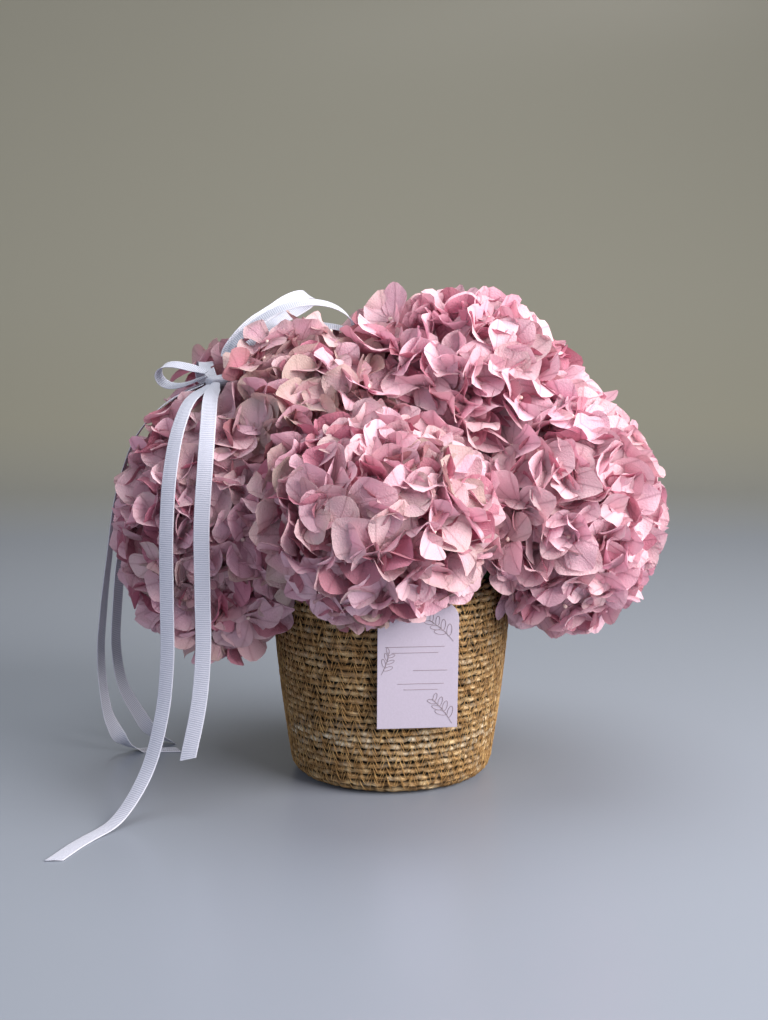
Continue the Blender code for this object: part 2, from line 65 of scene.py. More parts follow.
# compass angle in degrees, distance from the axis, height above the rim, radius across and up
HEADS = {
    "right": (-12, 0.1120, 0.037, 0.073, 0.080),
    "top_right": (8, 0.0490, 0.110, 0.075, 0.074),
    "top_left": (191, 0.0530, 0.092, 0.073, 0.066),
    "left": (193, 0.1170, 0.029, 0.068, 0.090),
    "front": (-97, 0.0845, 0.041, 0.077, 0.067),
    "back_right": (37, 0.1040, 0.060, 0.079, 0.079),
    "back_left": (141, 0.1050, 0.069, 0.079, 0.078),
    "back": (90, 0.1020, 0.042, 0.076, 0.074),
}
# how far each head's petals are dried, and how bright they are, both from 0 to 1; the brightness
# is partly the heads' own tone and partly painted light and shade, high on the lit right and low
# on the shaded left
HEAD_DRYNESS_AND_LIT_BRIGHTNESS = {
    "right": (0.10, 0.80), "top_right": (0.12, 0.70), "top_left": (0.55, 0.35),
    "left": (0.22, 0.35), "front": (0.25, 0.55), "back_right": (0.12, 0.65),
    "back_left": (0.25, 0.45), "back": (0.15, 0.55),
}
RIBBON_WIDTH = 0.0100
RIBBON_THICK = 0.0006
RIBBON_LIFT = 0.0037        # its middle above the petals
RIBBON_PINCH = 0.45
PINCH_LENGTH = 0.0130
KNOT_HALF = (0.0085, 0.0070, 0.0050)
KNOT_HOLLOW = 0.0110
LOOP_MOUTH = 0.0018
LOOP_TURN = 0.86
LOOP_START = 0.0075
TAIL_BELOW_KNOT = 0.0010
TAIL_START = 0.0100
TAIL_TILT = 0.004
TAIL_FLAT_BELOW = 0.20
# compass angle, rise angle, roll, length, opening, arch, height of its ends above the knot as a
# share of the ribbon's width
LOOPS = {
    "right_upper": (53, 27, 38, 0.106, 0.010, 0.007, 0.70),
    "right_lower": (11, 22, 25, 0.097, 0.009, 0.013, -0.36),
    "left_front": (156, -3, -20, 0.046, 0.009, 0.000, 0.60),
    "left_back": (108, 7, 0, 0.056, 0.008, 0.002, -0.20),
}
# over: (angle from the front towards -X, angle up) on the left head
# hang: (angle, distance outside the head, height as a share of the head's height)
TAILS = {
    "front_long": (
        ((32, 66), (26, 48), (23, 28), (22, 8)),
        ((22, 0.005, 0.76), (22, 0.006, 0.56), (24, 0.010, 0.35), (28, 0.022, 0.14),
         (30, 0.045, 0.02), (30, 0.075, 0.0), (28, 0.108, 0.0)),
        0.0),
    "front_short": (
        ((4, 66), (2, 48), (2, 28), (3, 8)),
        ((3, 0.005, 0.80), (3, 0.006, 0.60), (5, 0.008, 0.42), (10, 0.012, 0.21)),
        0.0016),
    "back_wide": (
        ((88, 64), (90, 42), (96, 20)),
        ((104, 0.014, 0.84), (109, 0.023, 0.63), (111, 0.028, 0.45), (113, 0.029, 0.30),
         (116, 0.027, 0.15), (124, 0.0227, 0.036), (131, 0.0195, 0.0), (146, 0.003, 0.0)),
        0.0),
    "back_thin": (
        ((122, 62), (124, 42), (124, 20)),
        ((121, 0.017, 0.86), (120, 0.022, 0.63), (120, 0.024, 0.45), (122, 0.022, 0.30),
         (129, 0.019, 0.17), (138, 0.018, 0.06), (148, 0.021, 0.0)),
        0.0016),
}


# ---- small tools -------------------------------------------------------------------------
def linear(code):
    """An sRGB hex colour as linear red, green and blue."""
    parts = [int(code[place:place + 2], 16) / 255 for place in (1, 3, 5)]
    return tuple(part / 12.92 if part <= 0.04045 else ((part + 0.055) / 1.055) ** 2.4
                 for part in parts)


def unit(rows):
    """Each row at length one."""
    rows = np.asarray(rows, float)
    return rows / np.maximum(np.linalg.norm(rows, axis=-1, keepdims=True), 1e-12)


def smooth_step(low, high, value):
    """0 at low, 1 at high, and a smooth rise between; high may be the smaller one."""
    share = np.clip((value - low) / (high - low), 0.0, 1.0)
    return share * share * (3 - 2 * share)


def grid_quads(rows, columns, around=False):
    """The quads of a grid of points; around joins its last column to its first."""
    row, column = np.meshgrid(np.arange(rows - 1),
                              np.arange(columns if around else columns - 1), indexing="ij")
    after = (column + 1) % columns
    quads = np.stack((row * columns + column, row * columns + after,
                      (row + 1) * columns + after, (row + 1) * columns + column), axis=-1)
    return quads.reshape(-1, 4)


def pole_fans(rings, sides):
    """The triangles that close the first and the last ring, each on a point of its own; those
    two points follow the rings' points."""
    here = np.arange(sides)
    after = (here + 1) % sides
    last = (rings - 1) * sides
    return np.concatenate((
        np.stack((after, here, np.full(sides, rings * sides)), axis=1),
        np.stack((last + here, last + after, np.full(sides, rings * sides + 1)), axis=1)))


def copies(faces, count, size):
    """The faces of one shape of the given number of points, repeated for each copy of it."""
    shift = (np.arange(count) * size)[:, None, None]
    return (faces[None] + shift).reshape(-1, faces.shape[1])


def outward(points, quads, fans):
    """The faces turned so that the volume inside them is positive."""
    volume = 0.0
    for faces in (quads, fans):
        for last in range(2, faces.shape[1]):
            first, second, third = points[faces[:, 0]], points[faces[:, last - 1]], \
                points[faces[:, last]]
            volume += np.einsum("ij,ij->", first, np.cross(second, third))
    if volume < 0:
        return quads[:, ::-1], fans[:, ::-1]
    return quads, fans


def new_object(name, data):
    """An object in the scene."""
    made = bpy.data.objects.new(name, data)
    bpy.context.scene.collection.objects.link(made)
    return made


def piece(name, points, quads, fans, materials, uv=None, tint=None, rim=None, look=None):
    """A mesh object from arrays of points, four-sided and three-sided faces.

    uv and tint are given for each point, rim marks the points whose edges stay sharp, and
    look is the material's number for each face.
    """
    points = np.asarray(points, float)
    fans = np.zeros((0, 3), int) if fans is None else fans
    corners = np.concatenate((quads.ravel(), fans.ravel())).astype(np.int32)
    starts = np.concatenate((np.arange(len(quads)) * 4,
                             len(quads) * 4 + np.arange(len(fans)) * 3)).astype(np.int32)
    mesh = bpy.data.meshes.new(name)
    mesh.vertices.add(len(points))
    mesh.vertices.foreach_set("co", points.astype(np.float32).ravel())
    mesh.loops.add(len(corners))
    mesh.loops.foreach_set("vertex_index", corners)
    mesh.polygons.add(len(starts))
    mesh.polygons.foreach_set("loop_start", starts)
    if look is not None:
        mesh.polygons.foreach_set("material_index", look.astype(np.int32))
    mesh.update(calc_edges=True)
    mesh.shade_smooth()
    if uv is not None:
        layer = mesh.uv_layers.new(name="surface")
        layer.data.foreach_set("uv", uv[corners].astype(np.float32).ravel())
    if tint is not None:
        layer = mesh.attributes.new("tint", "FLOAT_COLOR", "POINT")
        layer.data.foreach_set("color", tint.astype(np.float32).ravel())
    if rim is not None:
        ends = np.zeros(2 * len(mesh.edges), np.int32)
        mesh.edges.foreach_get("vertices", ends)
        sharp = mesh.attributes.new("sharp_edge", "BOOLEAN", "EDGE")
        sharp.data.foreach_set("value", rim[ends.reshape(-1, 2)].all(axis=1))
    made = new_object(name, mesh)
    for material in materials:
        mesh.materials.append(material)
    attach(made, "root")
    return made


def tubes(paths, radii, sides=6):
    """Round tubes along K paths of N points, closed at both ends with a fan.

    point = path + radius * (cos a * side + sin a * over), with a going once around.
    """
    ahead = unit(np.gradient(paths, axis=1))
    side = unit(np.cross(ahead, (0.31, -0.95, 0.05)))
    over = np.cross(side, ahead)
    turn = 2 * math.pi * np.arange(sides) / sides
    ways = (np.cos(turn)[:, None] * side[:, :, None, :]
            + np.sin(turn)[:, None] * over[:, :, None, :])
    rings = paths[:, :, None, :] + radii[:, :, None, None] * ways
    count, steps = paths.shape[:2]
    points = np.concatenate((rings.reshape(count, -1, 3), paths[:, :1], paths[:, -1:]), axis=1)
    quads = grid_quads(steps, sides, around=True)[:, ::-1]
    fans = pole_fans(steps, sides)[:, (1, 0, 2)]
    size = points.shape[1]
    return points.reshape(-1, 3), copies(quads, count, size), copies(fans, count, size)


def carried(middle, side, over, across, above):
    """A closed profile carried along a path, closed at both ends with a fan.

    point = middle + across * side + above * over, for each step and each profile corner.
    """
    rings = (middle[:, None] + across[..., None] * side[:, None] + above[..., None]
             * over[:, None])
    steps, sides = across.shape
    points = np.concatenate((rings.reshape(-1, 3), rings[0].mean(axis=0)[None],
                             rings[-1].mean(axis=0)[None]))
    quads, fans = outward(points, grid_quads(steps, sides, around=True),
                          pole_fans(steps, sides))
    return points, quads, fans


def smooth_path(points, count):
    """Points at equal steps along a smooth curve through the given ones.

    Each span is the cubic whose end slopes are those of the chord over both neighbours.
    """
    points = np.asarray(points, float)
    spans = np.linalg.norm(np.diff(points[:, :3], axis=0), axis=1)
    knots = np.concatenate(([0.0], np.cumsum(spans)))
    slopes = np.gradient(points, knots, axis=0)
    fine = np.linspace(0.0, knots[-1], 6 * count)
    span = np.clip(np.searchsorted(knots, fine, side="right") - 1, 0, len(spans) - 1)
    size = spans[span][:, None]
    t = ((fine - knots[span]) / spans[span])[:, None]
    curve = ((2 * t ** 3 - 3 * t ** 2 + 1) * points[span]
             + (t ** 3 - 2 * t ** 2 + t) * size * slopes[span]
             + (3 * t ** 2 - 2 * t ** 3) * points[span + 1]
             + (t ** 3 - t ** 2) * size * slopes[span + 1])
    steps = np.linalg.norm(np.diff(curve[:, :3], axis=0), axis=1)
    along = np.concatenate(([0.0], np.cumsum(steps)))
    even = np.linspace(0.0, along[-1], count)
    return np.stack([np.interp(even, along, column) for column in curve.T], axis=1)


def length_of(points):
    """The length of a path."""
    return float(np.linalg.norm(np.diff(points[:, :3], axis=0), axis=1).sum())


# ---- materials ---------------------------------------------------------------------------
def new_material(name):
    """A new node material, its tree and its Principled shader."""
    made = bpy.data.materials.new(name)
    made.use_nodes = True
    tree = made.node_tree
    shader = tree.nodes["Principled BSDF"]
    return made, tree, shader


def add(tree, kind, links=(), **settings):
    """Add a node: settings are its properties, or its sockets' values where they are numbers.

    A setting named in_3 is the value of socket 3.  links are (socket, output) pairs.
    """
    node = tree.nodes.new(kind)
    for key, value in settings.items():
        if key.startswith("in_"):
            node.inputs[int(key[3:])].default_value = value
        else:
            setattr(node, key, value)
    for socket, output in links:
        tree.links.new(output, node.inputs[socket])
    return node


def ramp(tree, source, stops):
    """A colour ramp with the given (place, colour) stops, driven by a value."""
    node = add(tree, "ShaderNodeValToRGB", links=[(0, source)])
    bars = node.color_ramp.elements
    bars[0].position, bars[1].position = stops[0][0], stops[-1][0]
    bars[0].color, bars[1].color = (*stops[0][1], 1.0), (*stops[-1][1], 1.0)
    for place, colour in stops[1:-1]:
        bars.new(place).color = (*colour, 1.0)
    return node.outputs[0]


def blend_colours(tree, share, first, second, kind="MIX"):
    """Two colours mixed; each is an output or a fixed colour, and so is the share."""
    node = add(tree, "ShaderNodeMix", data_type="RGBA", blend_type=kind)
    for socket, value in ((0, share), (6, first), (7, second)):
        if isinstance(value, bpy.types.NodeSocket):
            tree.links.new(value, node.inputs[socket])
        else:
            node.inputs[socket].default_value = value if socket == 0 else (*value, 1.0)
    return node.outputs[2]


def calculate(tree, kind, *values):
    """A Math node on outputs or numbers."""
    node = add(tree, "ShaderNodeMath", operation=kind)
    for socket, value in enumerate(values):
        if isinstance(value, bpy.types.NodeSocket):
            tree.links.new(value, node.inputs[socket])
        else:
            node.inputs[socket].default_value = value
    return node.outputs[0]


def noise(tree, where, scale, detail=2.0):
    """A cloudy value at a place."""
    node = add(tree, "ShaderNodeTexNoise", links=[(0, where)])
    node.inputs["Scale"].default_value = scale
    node.inputs["Detail"].default_value = detail
    return node.outputs["Fac"]


def cells(tree, where, scale, feature="F1"):
    """The distance to the nearest cell's middle, or to its edge, at a place."""
    node = add(tree, "ShaderNodeTexVoronoi", links=[(0, where)], feature=feature)
    node.inputs["Scale"].default_value = scale
    return node.outputs["Distance"]


def stretched(tree, where, scale, turn=0.0):
    """A place scaled along each axis, and turned about the third."""
    node = add(tree, "ShaderNodeMapping", links=[(0, where)], in_3=scale)
    node.inputs["Rotation"].default_value = (0.0, 0.0, turn)
    return node.outputs[0]


def dress(tree, shader, colour, roughness, specular=0.5, sheen=0.0):
    """A shader's colour output, roughness, reflection and sheen."""
    tree.links.new(colour, shader.inputs["Base Color"])
    for socket, value in (("Roughness", roughness), ("Specular IOR Level", specular),
                          ("Sheen Weight", sheen)):
        shader.inputs[socket].default_value = value


def bump(tree, shader, height, distance, strength=1.0):
    """Relief of the given depth on a shader."""
    node = add(tree, "ShaderNodeBump", links=[("Height", height)])
    node.inputs["Strength"].default_value = strength
    node.inputs["Distance"].default_value = distance
    tree.links.new(node.outputs[0], shader.inputs["Normal"])
    return node


def petal_material(settings):
    """Hydrangea sepal, fresh and partly dried: thin, matt, veined, and light passes through it.

    The tint holds tone, partly painted light and shade from the head's side, dryness, distance
    from the sepal's middle, and depth in the head, which darkens the inner florets as painted
    shade.
    """
    made, tree, shader = new_material("hydrangea sepal, fresh, thin and matt")
    tint = add(tree, "ShaderNodeAttribute", attribute_name="tint")
    parts = add(tree, "ShaderNodeSeparateColor", links=[(0, tint.outputs["Color"])])
    tone, dry, edge = parts.outputs[0], parts.outputs[1], parts.outputs[2]
    depth = tint.outputs["Alpha"]
    place = add(tree, "ShaderNodeUVMap", uv_map="surface")
    axes = add(tree, "ShaderNodeSeparateXYZ", links=[(0, place.outputs[0])])
    # veins fan out from the base: a wave over the angle seen from just behind it
    angle = calculate(tree, "ARCTAN2", calculate(tree, "SUBTRACT", axes.outputs[1], 0.5),
                      calculate(tree, "ADD", axes.outputs[0], 0.18))
    ripple = calculate(tree, "ABSOLUTE", calculate(tree, "SINE",
                                                   calculate(tree, "MULTIPLY", angle, 9.0)))
    vein = calculate(tree, "POWER", calculate(tree, "SUBTRACT", 1.0, ripple), 5.0)
    where = add(tree, "ShaderNodeTexCoord").outputs["Object"]
    # a net of cells of about 2 mm, and blotches of about 1 cm
    fine = calculate(tree, "SMOOTH_MIN", cells(tree, where, 480.0, "DISTANCE_TO_EDGE"), 0.22,
                     0.1)
    cloud = noise(tree, where, 90.0, 4.0)
    colour = ramp(tree, tone, ((0.0, settings.petal_deep), (0.55, settings.petal_middle),
                               (1.0, settings.petal_bright)))
    # deeper pink towards the sepal's base: partly the sepal's own colour, partly painted shade in
    # the floret's middle
    base = calculate(tree, "SUBTRACT", 1.0, calculate(tree, "MULTIPLY", axes.outputs[0], 3.2))
    base = calculate(tree, "MAXIMUM", base, 0.0)
    colour = blend_colours(tree, calculate(tree, "MULTIPLY", base, 0.55), colour,
                           linear("#D67F9E"))
    pale = calculate(tree, "MULTIPLY", calculate(tree, "POWER", edge, 3.0), 0.36)
    colour = blend_colours(tree, pale, colour, linear("#F6E0E6"))
    colour = blend_colours(tree, calculate(tree, "MULTIPLY", vein, 0.40), colour,
                           linear("#A8587A"))
    worn = calculate(tree, "MULTIPLY", dry, calculate(
        tree, "ADD", calculate(tree, "MULTIPLY", edge, 0.75),
        calculate(tree, "MULTIPLY", cloud, 0.65)))
    worn = calculate(tree, "MINIMUM", worn, 0.75)
    colour = blend_colours(tree, worn, colour, settings.petal_dry)
    # painted shade: the inner florets' colour is multiplied by a darker pink, for the shade deep
    # in the head
    shade = ramp(tree, depth, ((0.0, (1.0, 1.0, 1.0)), (1.0, linear("#DDA5B7"))))
    colour = blend_colours(tree, 1.0, colour, shade, "MULTIPLY")
    dress(tree, shader, colour, 0.62, 0.30, 0.08)
    relief = calculate(tree, "ADD", calculate(tree, "MULTIPLY", vein, -0.6),
                       calculate(tree, "MULTIPLY", fine, 1.6))
    lines = bump(tree, shader, relief, 0.0006, 0.75)
    through = add(tree, "ShaderNodeBsdfTranslucent", links=[
        (0, blend_colours(tree, 0.25, colour, linear("#F3ADC1"))), (1, lines.outputs[0])])
    both = add(tree, "ShaderNodeMixShader", in_0=0.44,
               links=[(1, shader.outputs[0]), (2, through.outputs[0])])
    tree.links.new(both.outputs[0], tree.nodes["Material Output"].inputs["Surface"])
    return made


def plain_material(name, colour, roughness, scale, spread, depth, specular=0.5):
    """A solid colour with cloudy variation and fine relief at one real scale."""
    made, tree, shader = new_material(name)
    where = add(tree, "ShaderNodeTexCoord").outputs["Object"]
    grain = noise(tree, where, scale, 5.0)
    dark = tuple(part * (1 - spread) for part in colour)
    light = tuple(min(part * (1 + spread), 1.0) for part in colour)
    dress(tree, shader, ramp(tree, grain, ((0.3, dark), (0.7, light))), roughness, specular)
    bump(tree, shader, grain, depth)
    return made


def seagrass_material(settings):
    """Twisted, sun-dried seagrass: dull, fibrous, mottled from straw to brown.

    The surface map runs along the rope and around it, in metres.  The tint's red is the
    strand's own tone, its green how bleached it is, and its blue how deep it lies, which
    paints shade into the gaps between rows and between tufts.
    """
    made, tree, shader = new_material("seagrass rope, twisted and sun-dried")
    place = add(tree, "ShaderNodeUVMap", uv_map="surface")
    # fibres of 0.7 mm, drawn out along the rope and slanted by its twist
    along = stretched(tree, place.outputs[0], (130.0, 1500.0, 1.0), math.radians(14))
    fibre = noise(tree, along, 1.0, 3.0)
    tint = add(tree, "ShaderNodeAttribute", attribute_name="tint")
    parts = add(tree, "ShaderNodeSeparateColor", links=[(0, tint.outputs["Color"])])
    mixed = calculate(tree, "ADD", calculate(tree, "MULTIPLY", fibre, 0.75),
                      calculate(tree, "MULTIPLY", parts.outputs[0], 0.45))
    mixed = calculate(tree, "SUBTRACT", mixed, 0.10)
    colour = ramp(tree, mixed, ((0.22, settings.straw_dark), (0.48, settings.straw),
                                (0.78, settings.straw_light)))
    colour = blend_colours(tree, parts.outputs[1], colour, linear("#E6DCC3"))
    # painted shade: dark brown where the rope lies deep, between rows and between tufts
    colour = blend_colours(tree, calculate(tree, "MULTIPLY", parts.outputs[2], 0.85), colour,
                           linear("#2E1F10"))
    dress(tree, shader, colour, 0.78, 0.25)
    bump(tree, shader, fibre, 0.0009)
    return made


def thread_material(settings):
    """Palm-leaf stitching strip: golden, slightly glossy, with fibres along it."""
    made, tree, shader = new_material("palm-leaf stitching, split and dried")
    place = add(tree, "ShaderNodeTexCoord").outputs["Object"]
    tone = noise(tree, place, 160.0, 3.0)       # changes every 6 mm
    dress(tree, shader, ramp(tree, tone, (
        (0.3, linear("#8A6534")), (0.5, settings.stitch), (0.72, linear("#CFAA6C")))), 0.48)
    bump(tree, shader, tone, 0.0003)
    return made


def ribbon_material(settings):
    """Polyester grosgrain: softly shining ribs across it, and a smooth bright edge."""
    made, tree, shader = new_material("polyester grosgrain, ribbed")
    place = add(tree, "ShaderNodeUVMap", uv_map="surface")
    axes = add(tree, "ShaderNodeSeparateXYZ", links=[(0, place.outputs[0])])
    turns = calculate(tree, "MULTIPLY", axes.outputs[0], 2 * math.pi / settings.rib_pitch)
    rib = calculate(tree, "MULTIPLY", calculate(tree, "ADD", calculate(tree, "COSINE", turns),
                                                1.0), 0.5)
    edge = calculate(tree, "GREATER_THAN", calculate(
        tree, "ABSOLUTE", axes.outputs[1]), settings.ribbon_width / 2 - 0.0008)
    rib = calculate(tree, "MAXIMUM", rib, edge)
    # threads of 0.25 mm along the ribbon
    weave = noise(tree, stretched(tree, place.outputs[0], (900.0, 4000.0, 1.0)), 1.0)
    # painted shade: the grooves between ribs take a darker copy of the ribbon's colour, taken
    # from its shaded side
    colour = ramp(tree, rib, ((0.05, settings.ribbon_shade), (0.6, settings.ribbon)))
    dress(tree, shader, colour, 0.46, sheen=0.30)
    shader.inputs["Sheen Roughness"].default_value = 0.4
    bump(tree, shader, weave, 0.0002)
    return made


def foam_material():
    """Wetted phenolic floral foam: dark green, full of pores about 0.9 mm apart."""
    made, tree, shader = new_material("phenolic floral foam, wetted")
    where = add(tree, "ShaderNodeTexCoord").outputs["Object"]
    pores = cells(tree, where, 1100.0)
    # painted shade: the foam is darker in its pores
    dress(tree, shader, ramp(tree, pores, ((0.1, linear("#12301B")),
                                           (0.7, linear("#3C6B43")))), 0.9)
    bump(tree, shader, pores, 0.0006)
    return made


def stem_material():
    """Woody hydrangea stem: green-brown bark with pale breathing spots and length streaks."""
    made, tree, shader = new_material("hydrangea stem, green wood with bark")
    where = add(tree, "ShaderNodeTexCoord").outputs["Object"]
    streak = noise(tree, stretched(tree, where, (700.0, 700.0, 60.0)), 1.0)
    bark = ramp(tree, streak, ((0.3, linear("#4C5A2C")), (0.7, linear("#7F7A45"))))
    spot = calculate(tree, "LESS_THAN", cells(tree, where, 330.0), 0.16)
    dress(tree, shader, blend_colours(tree, spot, bark, linear("#A79A6E")), 0.6)
    bump(tree, shader, streak, 0.0004)
    return made


# ---- basket ------------------------------------------------------------------------------
ROUGH_STEP = 0.0045                             # the rope's tone and lumps change this often
ROPE_SWAY = 0.0004
BLEACHED_HEIGHT, BLEACHED_SPREAD = 0.037, 0.008     # a paler band low on the front
STITCHES_AT_RADIUS = 0.078                      # where the stitches have their stated width
STITCH_SWING = (1.0, 1.75)                      # rows up and down from the strip's middle
STITCH_SUNK, STITCH_PROUD = -0.0008, 0.00015    # at its corners, and between them


def basket_radius(height):
    """Outer radius of the basket: a straight taper with a slight belly."""
    share = np.clip(height / BASKET_HEIGHT, 0.0, 1.0)
    taper = BASKET_FOOT_RADIUS + (BASKET_RIM_RADIUS - BASKET_FOOT_RADIUS) * share
    return taper + BASKET_BELLY * np.sin(math.pi * share)


def basket_profile():
    """The rope's centre line in a cut through the basket: out along the base, round the foot
    and up the wall, as radius and height with the length travelled, at 0.2 mm steps."""
    half = BASKET_WALL / 2
    corner = basket_radius(BASKET_FOOT_ROUND) - BASKET_FOOT_ROUND
    base = np.stack((np.linspace(0.002, corner, 80), np.full(80, half)), axis=1)
    turn = np.linspace(0.0, math.pi / 2, 40)[1:]
    size = BASKET_FOOT_ROUND - half
    foot = np.stack((corner + size * np.sin(turn), BASKET_FOOT_ROUND - size * np.cos(turn)),
                    axis=1)
    height = np.linspace(BASKET_FOOT_ROUND, BASKET_HEIGHT - half, 200)[1:]
    wall = np.stack((basket_radius(height) - half, height), axis=1)
    line = np.concatenate((base, foot, wall))
    steps = np.linalg.norm(np.diff(line, axis=0), axis=1)
    return line, np.concatenate(([0.0], np.cumsum(steps)))


def on_profile(travelled, angle, outside):
    """Points on the basket at a length along the profile, a compass angle and a distance
    outside the rope's centre line, with the three directions there."""
    line, lengths = basket_profile()
    slope = unit(np.gradient(line, lengths, axis=0))
    radius = np.interp(travelled, lengths, line[:, 0])
    height = np.interp(travelled, lengths, line[:, 1])
    up_r = np.interp(travelled, lengths, slope[:, 0])
    up_z = np.interp(travelled, lengths, slope[:, 1])
    cos, sin = np.cos(angle), np.sin(angle)
    normal = np.stack((up_z * cos, up_z * sin, -up_r), axis=-1)
    rising = np.stack((up_r * cos, up_r * sin, up_z), axis=-1)
    middle = np.stack((radius * cos, radius * sin, height), axis=-1)
    return middle + normal * np.asarray(outside)[..., None], normal, rising


def make_rope(settings):
    """The coiled rope: one spiral from the middle of the base to the rim.

    Its middle is at the length pitch * turns along the profile.  Its section is an oval with
    the half sizes wall / 2 * (0.70 + 0.27 * bead) outwards and pitch / 2 * (0.42 + 0.46 * bead)
    along the profile, roughened by a few percent; bead = |sin|^0.7 swells between stitches.
    """
    random = np.random.default_rng(11)
    line, lengths = basket_profile()
    pitch = settings.rope_pitch
    turns = np.linspace(0.55, lengths[-1] / pitch, 60000)
    radius = np.interp(turns * pitch, lengths, line[:, 0])
    walked = np.concatenate(([0.0], np.cumsum(2 * math.pi * radius[1:] * np.diff(turns))))
    steps = int(walked[-1] / settings.rope_step)
    along = np.linspace(0.0, walked[-1], steps)
    turns = np.interp(along, walked, turns)
    angle = 2 * math.pi * turns
    sway = ROPE_SWAY * np.sin(3 * angle + 1.7 * np.sin(0.21 * angle))
    middle, normal, rising = on_profile(turns * pitch, angle, np.zeros(steps))
    middle = middle + rising * sway[:, None]
    sides = 10
    knots = np.arange(0.0, walked[-1] + 0.01, ROUGH_STEP)
    ridge = np.stack([np.interp(along, knots, column) for column in
                      random.uniform(-1, 1, (sides, len(knots)))], axis=1)
    tuft = np.interp(along, knots, random.uniform(-1, 1, len(knots)))
    lumps = math.pi * along / settings.tuft_length + 1.6 * tuft
    bead = np.abs(np.sin(lumps)) ** 0.7
    middle = middle + rising * (0.00045 * np.cos(lumps) * np.sign(np.sin(lumps)))[:, None]
    turn = 2 * math.pi * np.arange(sides) / sides
    rough = 0.07 * ridge + 0.05 * tuft[:, None]
    across = (0.70 + 0.27 * bead[:, None] + rough) * (BASKET_WALL / 2) * np.cos(turn)
    above = (0.42 + 0.46 * bead[:, None] + rough) * (pitch * 0.50) * np.sin(turn)
    points, quads, fans = carried(middle, normal, rising, across, above)
    tone = np.interp(along, knots, random.uniform(0, 1, len(knots)))
    bleached = np.interp(along, knots, random.uniform(0, 1, len(knots)) ** 6)
    low_front = (np.exp(-((middle[:, 2] - BLEACHED_HEIGHT) / BLEACHED_SPREAD) ** 2)
                 * (middle[:, 1] < 0))
    chunk = np.interp(along, knots, (random.uniform(0, 1, len(knots)) > 0.62).astype(float))
    bleached = np.clip(0.5 * bleached + 0.8 * low_front * chunk, 0.0, 1.0)
    # painted shade: the rope's sides that face the next rows, and the notches between tufts, are
    # marked to be painted dark
    painted_gap_shade = np.clip(1.0 - np.maximum(across, 0.0) / (0.80 * BASKET_WALL / 2), 0.0, 1.0)
    painted_gap_shade = np.maximum(painted_gap_shade, 0.9 * (1.0 - bead[:, None]))
    tint = np.stack((np.broadcast_to(tone[:, None], across.shape) + 0.25 * ridge,
                     np.broadcast_to(bleached[:, None], across.shape), painted_gap_shade,
                     np.ones_like(across)), axis=-1).reshape(-1, 4)
    uv = np.stack(np.broadcast_arrays(along[:, None], turn * pitch / 2), axis=-1)
    ends = np.array([[0.5, 0.0, 0.5, 1.0]] * 2)
    return piece("basket_rope", points, quads, fans, [seagrass_material(settings)],
                 uv=np.concatenate((uv.reshape(-1, 2), np.zeros((2, 2)))),
                 tint=np.concatenate((np.clip(tint, 0, 1), ends)))


def make_stitching(settings):
    """The zigzag strip that sews each row to the ones below it.

    Its middle climbs one pitch a turn.  It swings up and down by 1 to 1.75 pitches every half
    stitch, less near the rim, stands on the rope's surface and dips in at each turning point.
    """
    random = np.random.default_rng(12)
    _, lengths = basket_profile()
    pitch = settings.rope_pitch
    first = (basket_radius(BASKET_FOOT_ROUND) - BASKET_FOOT_ROUND) / pitch + 1.0
    last = lengths[-1] / pitch - 0.9
    per_turn = 2 * math.pi * STITCHES_AT_RADIUS / (settings.stitch_width / 2)
    count = int((last - first) * per_turn)
    corner = np.arange(count)
    turns = first + corner / per_turn + random.uniform(-0.16, 0.16, count) / per_turn
    swing = np.where(corner % 2 == 0, 1.0, -1.0) * random.uniform(*STITCH_SWING, count)
    swing = swing * smooth_step(-0.5, 2.5, last - turns)
    travelled = (turns + swing) * pitch
    # three points to a stitch: in at the corner, out on both rows, and in at the next
    steps = np.arange(0, 3 * (count - 1) + 1) / 3.0
    travelled = np.interp(steps, corner, travelled)
    turns = np.interp(steps, corner, turns)
    at_corner = np.arange(len(steps)) % 3 == 0
    outside = BASKET_WALL / 2 + np.where(at_corner, STITCH_SUNK, STITCH_PROUD)
    outside = outside + random.uniform(-0.00015, 0.00015, len(steps))
    middle, _, _ = on_profile(np.clip(travelled, 0.0, lengths[-1] - 0.0005),
                              2 * math.pi * turns, outside)
    radius = np.full((1, len(middle)), settings.stitch_thick / 2)
    radius = radius * random.uniform(0.8, 1.2, radius.shape)
    points, quads, fans = tubes(middle[None], radius, sides=4)
    return piece("basket_stitching", points, quads, fans, [thread_material(settings)])


# ---- flower heads ------------------------------------------------------------------------
OUTER_BELOW, INNER_BELOW = 0.0085, 0.0215   # the florets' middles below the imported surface
OUTER_SPREAD, INNER_SPREAD = 0.42, 0.55     # how far the florets turn from straight outwards
REACH_SPREAD = 0.0028                       # how unevenly far out they stand
BOW_RISE, SEAM_RISE = 0.0170, 0.0080        # how far they rise beside the bow and in grooves
BOW_NEAR, BOW_FAR = (0.011, 0.016), (0.038, 0.027)  # that rise starts and ends at these gaps
SEAM_FAR, SEAM_NEAR = 1.30, 1.04            # the same in grooves, as shares of the next head
KNOT_CLEAR = 0.012                          # no floret's middle is nearer to the knot
ROOM = (0.02, 0.09)                         # how far petals may stand out of the head's outline
BOW_ROOM, SEAM_ROOM = 0.20, 0.10            # and further beside the bow and in grooves
FLORET_SIZE = (0.74, 1.14)
OPEN_ANGLE, OPEN_SPREAD, OPEN_LEAST, OPEN_MOST = 18, 17, -12, 54    # degrees
SEPAL_THICK = 0.00030
SEPAL_BASE = 0.0012                         # from the floret's middle to its sepals
MOST_PRESSED = 0.0060                       # sepals pressed back further are left out
